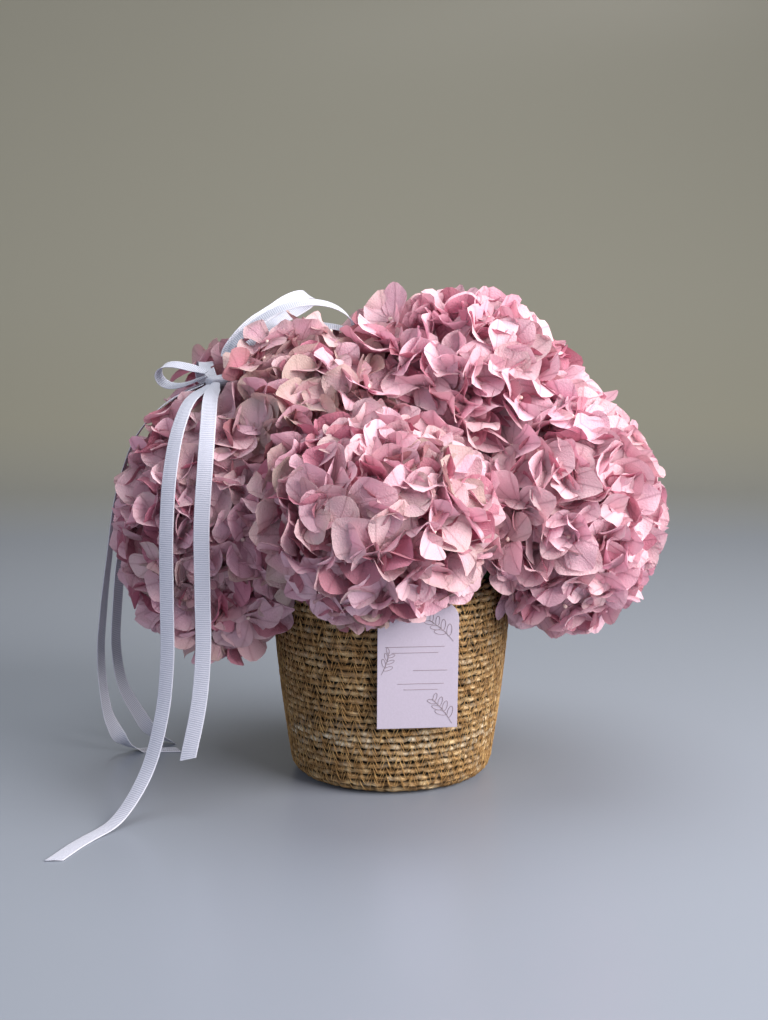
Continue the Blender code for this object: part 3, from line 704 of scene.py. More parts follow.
PETAL_GAP, CARD_GAP = 0.0012, 0.0016        # left to the basket and ribbons, and to the card
RIBBON_REACH = (0.0085, 0.0055)             # sideways from a ribbon's middle: none, and full
BEAD_RADIUS, BEAD_ABOVE = (0.0013, 0.0019), 0.0011
STALK_RADII = (0.0013, 0.0010, 0.00075, 0.0006, 0.0006)


def head_middle(name):
    """The middle of a flower head."""
    angle, reach, above, _, _ = HEADS[name]
    angle = math.radians(angle)
    return np.array((reach * math.cos(angle), reach * math.sin(angle), BASKET_HEIGHT + above))


def head_radii(name):
    """The three radii of a flower head."""
    across, up = HEADS[name][3:]
    return np.array((across, across, up))


def even_ways(count, random, jitter):
    """Directions spread evenly over a ball: a spiral with equal steps in height."""
    step = np.arange(count) + 0.5
    height = 1 - 2 * step / count
    angle = step * math.pi * (3 - math.sqrt(5)) + random.uniform(0, 2 * math.pi)
    flat = np.sqrt(np.maximum(1 - height ** 2, 0.0))
    ways = np.stack((flat * np.cos(angle), flat * np.sin(angle), height), axis=1)
    return unit(ways + random.normal(size=ways.shape) * jitter / math.sqrt(count))


def surface_reach(name, ways):
    """Distance from a head's middle to its packed surface along each way."""
    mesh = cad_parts["flower_head_" + name].data
    tree = BVHTree.FromPolygons([vert.co for vert in mesh.vertices],
                                [face.vertices[:] for face in mesh.polygons])
    middle = Vector(head_middle(name))
    free = 1.0 / np.linalg.norm(ways / head_radii(name), axis=1)
    far = [tree.ray_cast(middle + Vector(way) * reach * 1.3, -Vector(way), reach * 1.25)
           for way, reach in zip(ways, free)]
    found = np.array([reach * 1.3 - hit[3] if hit[0] is not None else 0.0
                      for hit, reach in zip(far, free)])
    return found, free


def is_buried(name, points, margin):
    """Whether points are inside another head, or between the heads and the foam."""
    inside = np.zeros(len(points), bool)
    for other in HEADS:
        if other != name:
            local = (points - head_middle(other)) / (head_radii(other) - margin)
            inside |= np.linalg.norm(local, axis=1) < 1.0
    radius = np.hypot(points[:, 0], points[:, 1])
    in_basket = (radius < basket_radius(points[:, 2]) + 0.002) & (
        points[:, 2] < BASKET_HEIGHT + 0.004)
    over_foam = (radius < BASKET_RIM_RADIUS - 0.01) & (points[:, 2] < FOAM_TOP + 0.006)
    return inside | in_basket | over_foam


def turned_to(normals, spin):
    """Frames whose third direction is the normal, spun about it: arrays of 3 by 3 matrices."""
    helper = np.where(np.abs(normals[:, 2:]) < 0.9, (0.0, 0.0, 1.0), (1.0, 0.0, 0.0))
    first = unit(np.cross(helper, normals))
    second = np.cross(normals, first)
    x = first * np.cos(spin)[:, None] + second * np.sin(spin)[:, None]
    return np.stack((x, np.cross(normals, x), normals), axis=2)


def sepal_form():
    """The sepal's grid of 6 by 6 points on a disc: a along it and b across, from -1 to 1.

    a = u * sqrt(1 - v * v / 2) and b = v * sqrt(1 - u * u / 2), for u and v in even steps.
    The under side shares the outline's points, so that the two close on each other.
    """
    size = 6
    u, v = np.meshgrid(np.linspace(-1, 1, size), np.linspace(-1, 1, size), indexing="ij")
    a = (u * np.sqrt(1 - v * v / 2)).ravel()
    b = (v * np.sqrt(1 - u * u / 2)).ravel()
    rim = ((np.abs(u) > 0.99) | (np.abs(v) > 0.99)).ravel()
    under = np.arange(size * size)
    under[~rim] = size * size + np.arange((~rim).sum())
    top = grid_quads(size, size)
    quads = np.concatenate((top, under[top][:, ::-1]))
    return a, b, rim, quads


def turn_about(points, first, second, angle):
    """Turn points, where they are stored, from one of their axes towards another."""
    cos, sin = np.cos(angle)[..., None], np.sin(angle)[..., None]
    points[..., first], points[..., second] = (
        points[..., first] * cos - points[..., second] * sin,
        points[..., first] * sin + points[..., second] * cos)


def make_sepals(middles, frames, size, open_by, random):
    """Four sepals round the middle of each floret, as points (florets, 4, points, 3).

    With s from 0 at the base to 1 at the tip: x = length * s, a little longer at the tip's
    middle; y = width * b * (0.62 + 0.75 s - 0.42 s^2); z = cup * y^2 + fold * |y| + curl * s^2
    + a ruffle that grows towards the edge + creases along the sepal.  Each sepal is then rolled
    about its own length, lifted from the floret's plane, and turned to its quarter.
    """
    a, b, rim, quads = sepal_form()
    count = len(middles)
    shape = (count, 4, 1)
    s = (a + 1) / 2
    edge = np.clip(np.hypot(a, b), 0.0, 1.0)
    length = size[:, None, None] * random.uniform(0.90, 1.10, shape)
    width = length * random.uniform(0.50, 0.66, shape)
    full = 0.62 + 0.75 * s - 0.42 * s ** 2
    y = width * b * full
    x = length * s * (1 + 0.10 * s ** 3 * (1 - np.abs(b)) ** 2)
    cup = random.uniform(-6.0, 26.0, shape)
    curl = length * random.normal(0.02, 0.24, shape)
    fold = np.maximum(random.normal(0.05, 0.22, shape), 0.0)
    phase = random.uniform(0, 2 * math.pi, shape)
    waves = random.integers(2, 5, shape)
    ruffle = length * 0.075 * edge ** 3 * np.sin(waves * np.arctan2(b, a) + phase)
    crease = length * 0.020 * np.sin(5.0 * b + phase) * s
    z = cup * y ** 2 + fold * np.abs(y) + curl * s ** 2 + ruffle + crease
    top = np.stack(np.broadcast_arrays(x, y, z), axis=-1)
    below = top[:, :, ~rim] - np.array((0.0, 0.0, SEPAL_THICK))
    points = np.concatenate((top, below), axis=2)
    roll = math.radians(9) + np.radians(random.normal(0, 9, (count, 4)))
    lift = open_by[:, None] + np.radians(random.normal(0, 11, (count, 4)))
    lift = lift + np.radians(np.array((4.0, -3.0, 4.0, -3.0)))
    quarter = math.pi / 2 * np.arange(4) + np.radians(random.normal(0, 7, (count, 4)))
    turn_about(points, 1, 2, roll)
    turn_about(points, 0, 2, lift)
    points[..., 0] += SEPAL_BASE
    turn_about(points, 0, 1, quarter)
    points = np.einsum("fij,fspj->fspi", frames, points) + middles[:, None, None]
    uv = np.stack((s, 0.5 + 0.5 * b * full * 0.8), axis=1)
    return points, quads, rim, edge, uv


def beside_bow(points, loops):
    """How far the florets rise beside the bow's loops, from 0 to 1, so that these lie among
    them: full at 16 to 27 mm from a loop, none under it or 38 mm away."""
    gap = np.linalg.norm(points[:, None] - loops[None], axis=2).min(axis=1)
    return smooth_step(*BOW_NEAR, gap) * smooth_step(*BOW_FAR, gap)


def beside_head_seam(name, points):
    """How close points are to another head, from 0 to 1, so that florets rise to fill the
    groove where two heads meet."""
    others = [other for other in HEADS if other != name]
    shares = [np.linalg.norm((points - head_middle(other)) / head_radii(other), axis=1)
              for other in others]
    return smooth_step(SEAM_FAR, SEAM_NEAR, np.min(shares, axis=0))


def held_in(points, name, room):
    """How far each floret sinks, so that its highest point stands no more than its room
    outside the head's outline; room is a share of the head's size."""
    local = (points - head_middle(name)) / head_radii(name)
    share = np.linalg.norm(local, axis=-1).max(axis=(1, 2))
    return np.maximum(share - 1.0 - room, 0.0) * head_radii(name)[0]


def kept_clear(points, ribbons):
    """Petals pressed back from the basket, the foam, the card and the ribbons.

    Points in the basket's wall move out to it, points over the foam move up to it, points in
    or behind the card move in front of it, and points above a ribbon's under side move below.
    """
    radius = np.hypot(points[:, 0], points[:, 1])
    wall = basket_radius(points[:, 2]) + PETAL_GAP
    low = points[:, 2] < BASKET_HEIGHT + 0.002
    inside = low & (radius < wall)
    points[inside, :2] *= (wall / np.maximum(radius, 1e-6))[inside, None]
    over = (radius < BASKET_RIM_RADIUS) & (points[:, 2] < FOAM_TOP + 0.001) & ~low
    points[over, 2] = FOAM_TOP + 0.001
    middle, right, up, out = card_frame()
    local = np.stack(((points - middle) @ right, (points - middle) @ up,
                      (points - middle) @ out), axis=1)
    half = card_half()
    near = ((np.abs(local[:, 0]) < half[0] + 0.002) & (local[:, 1] < half[1] + 0.002)
            & (local[:, 1] > -half[1]) & (local[:, 2] < CARD_GAP) & (local[:, 2] > -0.03))
    points[near] += out * (CARD_GAP - local[near, 2])[:, None]
    for path, facing, across in ribbons:
        box_low, box_high = path.min(axis=0) - 0.02, path.max(axis=0) + 0.02
        close = np.nonzero(((points > box_low) & (points < box_high)).all(axis=1))[0]
        for part in np.array_split(close, max(1, len(close) // 4000)):
            gap = points[part][:, None] - path[None]
            nearest = np.argmin((gap ** 2).sum(axis=2), axis=1)
            gap = gap[np.arange(len(part)), nearest]
            above = (gap * facing[nearest]).sum(axis=1)
            aside = np.abs((gap * across[nearest]).sum(axis=1))
            beyond = np.linalg.norm(gap, axis=1)
            pressed = smooth_step(*RIBBON_REACH, aside) * (beyond < 0.022)
            move = np.maximum(above + PETAL_GAP, 0.0) * pressed
            points[part] -= facing[nearest] * move[:, None]
    return points


def make_head(name, seed, settings, petals, bead, stalk, ribbons, loops):
    """The florets of one head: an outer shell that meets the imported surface, an inner one that
    fills the gaps, a bead in each floret, and the stalks that carry them."""
    random = np.random.default_rng(100 + seed)
    middle = head_middle(name)
    dry, bright = HEAD_DRYNESS_AND_LIT_BRIGHTNESS[name]
    middles, normals, shade_depths = [], [], []
    for count, below, spread, depth in (
            (settings.outer_florets, OUTER_BELOW, OUTER_SPREAD, 0.0),
            (settings.inner_florets, INNER_BELOW, INNER_SPREAD, 1.0)):
        ways = even_ways(count, random, 0.9)
        reach, free = surface_reach(name, ways)
        reach = np.where(reach > 0.2 * free, reach, free)
        reach = reach - below + random.normal(0, REACH_SPREAD, count)
        reach = reach + BOW_RISE * beside_bow(middle + ways * reach[:, None], loops)
        reach = reach + SEAM_RISE * beside_head_seam(name, middle + ways * reach[:, None])
        spots = middle + ways * reach[:, None]
        shown = ~is_buried(name, spots + ways * 0.004, 0.004)
        shown &= np.linalg.norm(spots - knot_middle(), axis=1) > KNOT_HALF[0] + KNOT_CLEAR
        out = unit(ways / head_radii(name) + random.normal(size=ways.shape) * spread
                   / head_radii(name))
        middles.append(spots[shown])
        normals.append(out[shown])
        shade_depths.append(np.full(shown.sum(), depth))
    middles, normals = np.concatenate(middles), np.concatenate(normals)
    shade_depths = np.concatenate(shade_depths)
    count = len(middles)
    frames = turned_to(normals, random.uniform(0, 2 * math.pi, count))
    size = settings.sepal_length * random.uniform(*FLORET_SIZE, count)
    open_by = np.radians(np.clip(random.normal(OPEN_ANGLE, OPEN_SPREAD, count), OPEN_LEAST,
                                 OPEN_MOST))
    points, quads, rim, edge, uv = make_sepals(middles, frames, size, open_by, random)
    sides = points.shape[2]
    total = count * 4
    # painted light and shade: each floret's tone follows its head's brightness, lighter on the
    # lit right and darker on the shaded left, with a random spread
    tone = np.clip(bright * 0.7 + random.normal(0.15, 0.17, (count, 1, 1))
                   + random.normal(0, 0.08, (count, 4, 1)), 0, 1)
    worn = np.clip(dry * random.gamma(2.0, 0.5, (count, 1, 1))
                   + random.normal(0, 0.08, (count, 4, 1)), 0, 1)
    edge = np.concatenate((edge, edge[~rim]))
    # the tint's alpha carries the layer's depth, which darkens the inner florets as painted shade
    tint = np.stack(np.broadcast_arrays(tone, worn, edge, shade_depths[:, None, None] * 0.8), axis=-1)
    uv = np.concatenate((uv, uv[~rim]))
    room = random.uniform(*ROOM, count) + BOW_ROOM * beside_bow(middles, loops)
    room = room + SEAM_ROOM * beside_head_seam(name, middles)
    sunk = held_in(points, name, room)[:, None] * unit(middles - middle)
    middles = middles - sunk
    points = (points - sunk[:, None, None]).reshape(-1, 3)
    cleared = kept_clear(points.copy(), ribbons)
    moved = np.linalg.norm(cleared - points, axis=1).reshape(total, sides).max(axis=1)
    kept = moved < MOST_PRESSED
    points, tint = cleared.reshape(total, sides, 3)[kept], tint.reshape(total, sides, 4)[kept]
    points, total = points.reshape(-1, 3), int(kept.sum())
    rims = np.tile(np.concatenate((rim, np.zeros(sides - len(rim), bool))), total)
    quads = copies(quads, total, sides)
    florets = piece("florets_" + name, points, quads, None, [petals],
                    uv=np.tile(uv, (total, 1)), tint=tint.reshape(-1, 4), rim=rims)
    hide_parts("flower_head_" + name)
    # stalks: from the middle of the head, through a fork, to the back of each floret
    backs = middles - normals * 0.0008
    fork = middle + (backs - middle) * 0.45
    fork = fork + unit(random.normal(size=fork.shape)) * 0.004
    t = np.linspace(0, 1, 5)[:, None]
    paths = ((1 - t) ** 2 * (middle + (fork - middle) * 0.25)[:, None]
             + 2 * t * (1 - t) * fork[:, None] + t ** 2 * backs[:, None])
    radii = np.broadcast_to(STALK_RADII, paths.shape[:2])
    stalk_points, stalk_quads, stalk_fans = tubes(paths, radii, sides=5)
    bead_points, bead_quads, bead_fans = beads(middles, frames, random)
    shift = len(stalk_points)
    quads = np.concatenate((stalk_quads, bead_quads + shift))
    fans = np.concatenate((stalk_fans, bead_fans + shift))
    look = np.concatenate((np.zeros(len(stalk_quads)), np.ones(len(bead_quads)),
                           np.zeros(len(stalk_fans)), np.ones(len(bead_fans))))
    stalks = piece("stalks_" + name, kept_clear(np.concatenate((stalk_points, bead_points)),
                                                ribbons),
                   quads, fans, [stalk, bead], look=look)
    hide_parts("flower_head_" + name)


def beads(middles, frames, random):
    """The closed bud in each floret: a ball of 3 rings of 6 points with two poles."""
    rise = np.radians((-40.0, 5.0, 50.0))
    turn = 2 * math.pi * np.arange(6) / 6
    ring = np.stack(np.broadcast_arrays(np.cos(rise)[:, None] * np.cos(turn),
                                        np.cos(rise)[:, None] * np.sin(turn),
                                        np.sin(rise)[:, None]), axis=-1).reshape(-1, 3)
    ball = np.concatenate((ring, ((0.0, 0.0, -1.0), (0.0, 0.0, 1.0))))
    size = random.uniform(*BEAD_RADIUS, len(middles))
    points = np.einsum("fij,pj->fpi", frames, ball) * size[:, None, None]
    points = points + (middles + frames[:, :, 2] * BEAD_ABOVE)[:, None]
    quads, fans = [copies(faces, len(middles), len(ball))
                   for faces in (grid_quads(3, 6, around=True), pole_fans(3, 6))]
    return points.reshape(-1, 3), quads, fans


# ---- card --------------------------------------------------------------------------------
CARD_CORNER = 0.013
LINE_RADIUS, LINE_PROUD = 0.00019, 0.00006      # the print's lines, and their middle above it
# the sprigs' root, angle in degrees, size and number of leaves
SPRIGS = (((0.0225, 0.016), 128, 0.021, 7), ((0.0225, -0.040), 118, 0.021, 7),
          ((-0.0235, -0.006), 62, 0.016, 6))
# the ruled lines' height, half length and middle
RULES = ((0.0125, 0.0190, -0.002), (0.0085, 0.0150, -0.002), (-0.0035, 0.0110, 0.008),
         (-0.0125, 0.0150, 0.002), (-0.0165, 0.0110, 0.002))


def card_points():
    """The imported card's corners."""
    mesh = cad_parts["card"].data
    return np.array([vert.co[:] for vert in mesh.vertices])


def card_frame():
    """The card's middle, and its directions to the right, up and outwards."""
    points = np.unique(np.round(card_points(), 6), axis=0)
    low = points[points[:, 2] < points[:, 2].min() + 0.001]
    right = low[np.argmax(low[:, 0])] - low[np.argmin(low[:, 0])]
    right = unit(np.array((right[0], right[1], 0.0)))
    spread = points - points.mean(axis=0)
    out = np.linalg.svd(spread, full_matrices=False)[2][2]
    out = unit(out * (-1 if out[1] > 0 else 1))
    right = unit(right - out * (right @ out))
    up = np.cross(out, right)
    up = up * (-1 if up[2] < 0 else 1)
    spans = [((points @ way).min() + (points @ way).max()) / 2 for way in (right, up, out)]
    middle = right * spans[0] + up * spans[1] + out * spans[2]
    return middle, right, up, out


def card_half():
    """Half the card's width, height and thickness."""
    middle, right, up, out = card_frame()
    points = card_points() - middle
    return np.array([np.abs(points @ way).max() for way in (right, up, out)])


def make_card(settings):
    """The card: a plate with round upper corners and a softened edge.

    Its outline has square lower corners and quarter circles above; five copies of it, the
    outer ones drawn in by the edge's rounding, are joined from the back to the front.
    """
    middle, right, up, out = card_frame()
    half = card_half()
    size = CARD_CORNER
    turn = np.linspace(0.0, math.pi / 2, 10)
    first = np.stack((half[0] - size + size * np.cos(turn), half[1] - size + size
                      * np.sin(turn)), axis=1)
    second = np.stack((-(half[0] - size) - size * np.sin(turn), half[1] - size + size
                       * np.cos(turn)), axis=1)
    outline = np.concatenate((((-half[0], -half[1]), (half[0], -half[1])), first, second))
    inset = np.array((0.00025, 0.00006, 0.0, 0.00006, 0.00025))
    depth = np.array((-1.0, -0.8, 0.0, 0.8, 1.0)) * half[2]
    flat = outline[None] * (1 - inset[:, None, None] / half[:2])
    rings = (middle + flat[..., :1] * right + flat[..., 1:] * up + depth[:, None, None] * out)
    sides = len(outline)
    centres = middle + np.array((depth[0], depth[-1]))[:, None] * out
    points = np.concatenate((rings.reshape(-1, 3), centres))
    quads, fans = outward(points, grid_quads(len(depth), sides, around=True),
                          pole_fans(len(depth), sides))
    made = piece("card_board", points, quads, fans, [plain_material(
        "uncoated card, pressed pulp", settings.card, 0.62, 900.0, 0.03, 0.00008, 0.35)],
        rim=np.ones(len(points), bool))
    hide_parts("card")
    return middle, right, up, out, half


def leaf_sprig(root, angle, size, leaves):
    """Thin lines of a leaf sprig on the card, as paths of (right, up): a bent stem and pairs
    of lens-shaped leaf outlines."""
    t = np.linspace(0.0, 1.0, 24)
    way = np.array((math.cos(angle), math.sin(angle)))
    side = np.array((-way[1], way[0]))
    stem = root + size * (t[:, None] * way + 0.18 * (t * t)[:, None] * side)
    lines = [stem]
    turn = np.linspace(0.0, 2 * math.pi, 24)
    for number in range(leaves):
        share = 0.25 + 0.7 * number / max(leaves - 1, 1)
        start = stem[int(share * 23)]
        lean = angle + (0.75 if number % 2 else -0.75)
        out = np.array((math.cos(lean), math.sin(lean)))
        wide = np.array((-out[1], out[0]))
        reach = size * (0.42 - 0.16 * share)
        lens = (start + reach * (0.5 - 0.5 * np.cos(turn))[:, None] * out
                + reach * 0.20 * np.sin(turn)[:, None] * wide)
        lines.append(lens)
    return lines


def make_print(settings, middle, right, up, out, half):
    """The card's print: leaf sprigs in two corners and thin ruled lines, just proud of it."""
    lines = [line for root, angle, size, leaves in SPRIGS
             for line in leaf_sprig(np.array(root), math.radians(angle), size, leaves)]
    t = np.linspace(-1.0, 1.0, 24)
    for height, reach, aside in RULES:
        lines.append(np.stack((aside + reach * t, np.full(24, height)), axis=1))
    flat = np.stack(lines)
    paths = (middle + flat[..., :1] * right + flat[..., 1:] * up
             + out * (half[2] + LINE_PROUD))
    points, quads, fans = tubes(paths, np.full(paths.shape[:2], LINE_RADIUS), sides=4)
    made = piece("card_print", points, quads, fans, [plain_material(
        "offset ink, matt taupe", settings.ink, 0.6, 800.0, 0.05, 0.00002, 0.3)])
    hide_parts("card")


# ---- bow ---------------------------------------------------------------------------------
ROUTE_STEP = 0.0003
SLANT, SLANT_LENGTH = 0.45, 0.012   # the tails' ends: length to width, and where it starts
TABLE_GAP = 0.0002                  # no ribbon lies lower
KNOT_SPIN = 31                      # degrees about the upright axis


def knot_middle():
    """The knot lies on top of the left head."""
    above = head_radii("left")[2] + KNOT_HALF[2]
    return head_middle("left") + np.array((0.0, 0.0, above))


def clear_of_heads(points, lift):
    """Points inside a head, or too near it, moved straight out, except round the knot."""
    start = np.array(points, float)
    points = start.copy()
    for _ in range(6):
        for name in HEADS:
            radii = head_radii(name) + lift[:, None]
            local = (points - head_middle(name)) / radii
            size = np.linalg.norm(local, axis=1, keepdims=True)
            inside = size[:, 0] < 1.0
            points[inside] = (head_middle(name) + local / size * radii)[inside]
    away = np.linalg.norm(start - knot_middle(), axis=1, keepdims=True) - KNOT_HALF[0]
    return start + (points - start) * np.clip(away / KNOT_HOLLOW, 0.0, 1.0)


def loop_path(angle, rise, roll, length, opening, arch, root_height):
    """A bow's loop: a drop shape in a rolled plane that starts and ends at the knot.

    Along it: reach = (1 + cos a) / 2 of its length.  From strand to strand: (opening * reach
    + mouth) * sin a.  Above it: 4 * arch * reach * (1 - reach).
    """
    angle, rise = math.radians(angle), math.radians(rise)
    level = np.array((math.cos(angle), math.sin(angle), 0.0))
    along = level * math.cos(rise) + np.array((0.0, 0.0, math.sin(rise)))
    above = np.array((0.0, 0.0, math.cos(rise))) - level * math.sin(rise)
    roll = math.radians(roll)
    over = above * math.cos(roll) + np.cross(along, above) * math.sin(roll)
    turn = np.linspace(-LOOP_TURN * math.pi, LOOP_TURN * math.pi, 26)
    reach = (1 + np.cos(turn)) / 2
    root = knot_middle() + np.array((0.0, 0.0, root_height * RIBBON_WIDTH))
    rising = (opening * reach + LOOP_MOUTH) * np.sin(turn)
    bent = 4 * arch * reach * (1 - reach)
    points = (root + along * (LOOP_START + (length - LOOP_START) * reach)[:, None]
              + over * rising[:, None] + above * bent[:, None])
    points = clear_of_heads(points, RIBBON_LIFT + 2 * np.maximum(rising, 0.0))
    plane = np.cross(along, over)
    return points, plane


def over_head(turn, up, lift):
    """A point on the left head; turn is from the front towards -X, up is from the level."""
    turn, up = math.radians(turn), math.radians(up)
    way = np.array((-math.sin(turn) * math.cos(up), -math.cos(turn) * math.cos(up),
                    math.sin(up)))
    return head_middle("left") + way * (head_radii("left") + RIBBON_LIFT + lift), way


def beside_head(turn, outside, share, lift):
    """A point that hangs outside the left head, or lies on the table where the share is 0."""
    turn = math.radians(turn)
    way = np.array((-math.sin(turn), -math.cos(turn), 0.0))
    point = head_middle("left") + way * (head_radii("left")[0] + outside)
    point[2] = TOUCH_GAP + RIBBON_THICK + share * head_middle("left")[2]
    point[:2] += way[:2] * lift
    return point, way


def tail_path(over, hang, lift):
    """A tail's path and the way that it faces: over the left head, down beside it, and along
    the table."""
    first = over_head(over[0][0], over[0][1], lift)[0]
    start = knot_middle() + unit(np.array((*(first - knot_middle())[:2], 0.0))) * TAIL_START
    start[2] += lift - TAIL_BELOW_KNOT
    points, facing = [start], [np.array((0.0, 0.0, 1.0))]
    for turn, up in over:
        point, way = over_head(turn, up, lift)
        points.append(point)
        facing.append(way / head_radii("left") ** 2 * TAIL_TILT)
    for turn, outside, share in hang:
        point, way = beside_head(turn, outside, share, lift)
        points.append(point)
        flat = max(0.0, 1.0 - share / TAIL_FLAT_BELOW)
        facing.append((1 - flat) * way + flat * np.array((0.0, 0.0, 1.0)))
    return np.hstack((points, unit(facing)))


def ribbon_routes():
    """Every loop's and tail's route, as (name, path, facing, across), at 0.3 mm steps."""
    routes = []
    for name, values in LOOPS.items():
        coarse, plane = loop_path(*values)
        path = smooth_path(coarse, int(length_of(coarse) / ROUTE_STEP))
        ahead = unit(np.gradient(path, axis=0))
        facing = unit(np.cross(plane, ahead))
        routes.append(("bow_loop_" + name, path, facing, unit(np.cross(ahead, facing))))
    for name, values in TAILS.items():
        coarse = tail_path(*values)
        path = smooth_path(coarse, int(length_of(coarse) / ROUTE_STEP))
        path[:, 2] = np.maximum(path[:, 2], TOUCH_GAP + RIBBON_THICK)
        ahead = unit(np.gradient(path[:, :3], axis=0))
        across = unit(np.cross(ahead, path[:, 3:]))
        facing = unit(np.cross(across, ahead))
        routes.append(("ribbon_tail_" + name, path[:, :3], facing, across))
    return routes


def make_ribbon(name, path, facing, across, settings, material):
    """A ribbed ribbon: a flat profile with thick edges, carried along its route.

    Half its thickness = 0.14 mm + 0.13 mm * (1 + cos(2 pi * length / rib pitch)) / 2 between
    the edges, 0.26 mm in them, and 0.09 mm where they end.  It is gathered towards the knot,
    and a tail's end is cut on a slant.
    """
    along = np.concatenate(([0.0], np.cumsum(np.linalg.norm(np.diff(path, axis=0), axis=1))))
    away = np.linalg.norm(path - knot_middle(), axis=1) - KNOT_HALF[0]
    width = settings.ribbon_width * (RIBBON_PINCH + (1 - RIBBON_PINCH)
                                     * np.clip(away / PINCH_LENGTH, 0.0, 1.0))
    rib = 0.5 + 0.5 * np.cos(2 * math.pi * along / settings.rib_pitch)
    shares = np.array((-1.0, -0.98, -0.86, -0.80, -0.4, 0.0, 0.4, 0.80, 0.86, 0.98, 1.0))
    plain = np.array((0.35, 1.0, 1.0, 0.0, 0.0, 0.0, 0.0, 0.0, 1.0, 1.0, 0.35))
    ribbed = 1.0 - np.minimum(plain * 3, 1.0)
    half = 0.00026 * plain + (0.00014 + 0.00013 * rib[:, None]) * ribbed
    camber = -0.0004 * shares ** 2
    both = np.concatenate((shares, shares[::-1]))
    aside = both * width[:, None] / 2
    above = np.concatenate((camber + half, (camber - half)[:, ::-1]), axis=1)
    points, quads, fans = carried(path, across, facing, aside, above)
    rings = len(path) * len(both)
    if name.startswith("ribbon_tail"):
        left = smooth_step(SLANT_LENGTH, 0.0, along[-1] - along)
        slant = SLANT * aside * left[:, None]
        ahead = unit(np.gradient(path, axis=0))
        points[:rings] += (slant[..., None] * ahead[:, None]).reshape(-1, 3)
    points[:, 2] = np.maximum(points[:, 2], TABLE_GAP)
    uv = np.stack(np.broadcast_arrays(along[:, None], aside), axis=-1).reshape(-1, 2)
    made = piece(name + "_grosgrain", points, quads, fans, [material],
                 uv=np.concatenate((uv, uv[:1], uv[-1:])))
    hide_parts(name)


def make_knot(settings, material):
    """The wrap round the bow's middle: a closed ball, squeezed into folds.

    radius = 1 + 0.07 * sin(5 h) + 0.03 * cos(9 h + 0.6) * cos(2 a), with h from pole to pole
    and a around.  Each coordinate, raised to the power 0.86 to square the ball off a little, is
    then times the knot's half size.
    """
    rings, sides = 22, 48
    rise = np.linspace(-math.pi / 2, math.pi / 2, rings + 2)[1:-1]
    turn = 2 * math.pi * np.arange(sides) / sides
    fold = (1 + 0.07 * np.sin(5 * rise)[:, None] * np.ones(sides)
            + 0.03 * np.cos(9 * rise + 0.6)[:, None] * np.cos(2 * turn))
    ball = np.stack((np.sin(rise)[:, None] * np.ones(sides),
                     np.cos(rise)[:, None] * np.cos(turn),
                     np.cos(rise)[:, None] * np.sin(turn)), axis=-1) * fold[..., None]
    flat = np.sign(ball) * np.abs(ball) ** 0.86
    poles = np.array(((-0.96, 0.0, 0.0), (0.96, 0.0, 0.0)))
    size = np.array(KNOT_HALF)
    angle = math.radians(KNOT_SPIN)
    spin = np.array(((math.cos(angle), -math.sin(angle), 0.0),
                     (math.sin(angle), math.cos(angle), 0.0), (0.0, 0.0, 1.0)))
    points = np.concatenate((flat.reshape(-1, 3), poles)) * size @ spin.T + knot_middle()
    quads, fans = outward(points, grid_quads(rings, sides, around=True),
                          pole_fans(rings, sides))
    uv = np.stack(np.broadcast_arrays(turn * 0.006, rise[:, None] * 0.004), axis=-1)
    made = piece("bow_knot_wrap", points, quads, fans, [material],
                 uv=np.concatenate((uv.reshape(-1, 2), np.zeros((2, 2)))))
    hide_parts("bow_knot")


# ---- studio ------------------------------------------------------------------------------
FLOOR_FRONT, FLOOR_BACK, FLOOR_BEND, WALL_TOP, FLOOR_HALF = -2.5, 1.5, 1.0, 4.0, 6.0
LIT_POINT = (0.0, 0.0, 0.17)
# name, place, width, share of the key light's power, colour
LIGHTS = (("key", (1.15, -0.75, 0.80), 1.3, 1.0, "#FFF8F6"),
          ("fill", (-1.2, -1.1, 0.7), 1.4, 0.10, "#E6EAFF"),
          ("top", (0.1, 0.2, 1.5), 1.2, 0.30, "#FFFFFF"))
CAMERA_PLACE = (-0.005, -1.0, 0.321)
CAMERA_TILT = 82.0              # degrees up from straight down
SENSOR, LENS = 36.0, 51.98823529    # mm


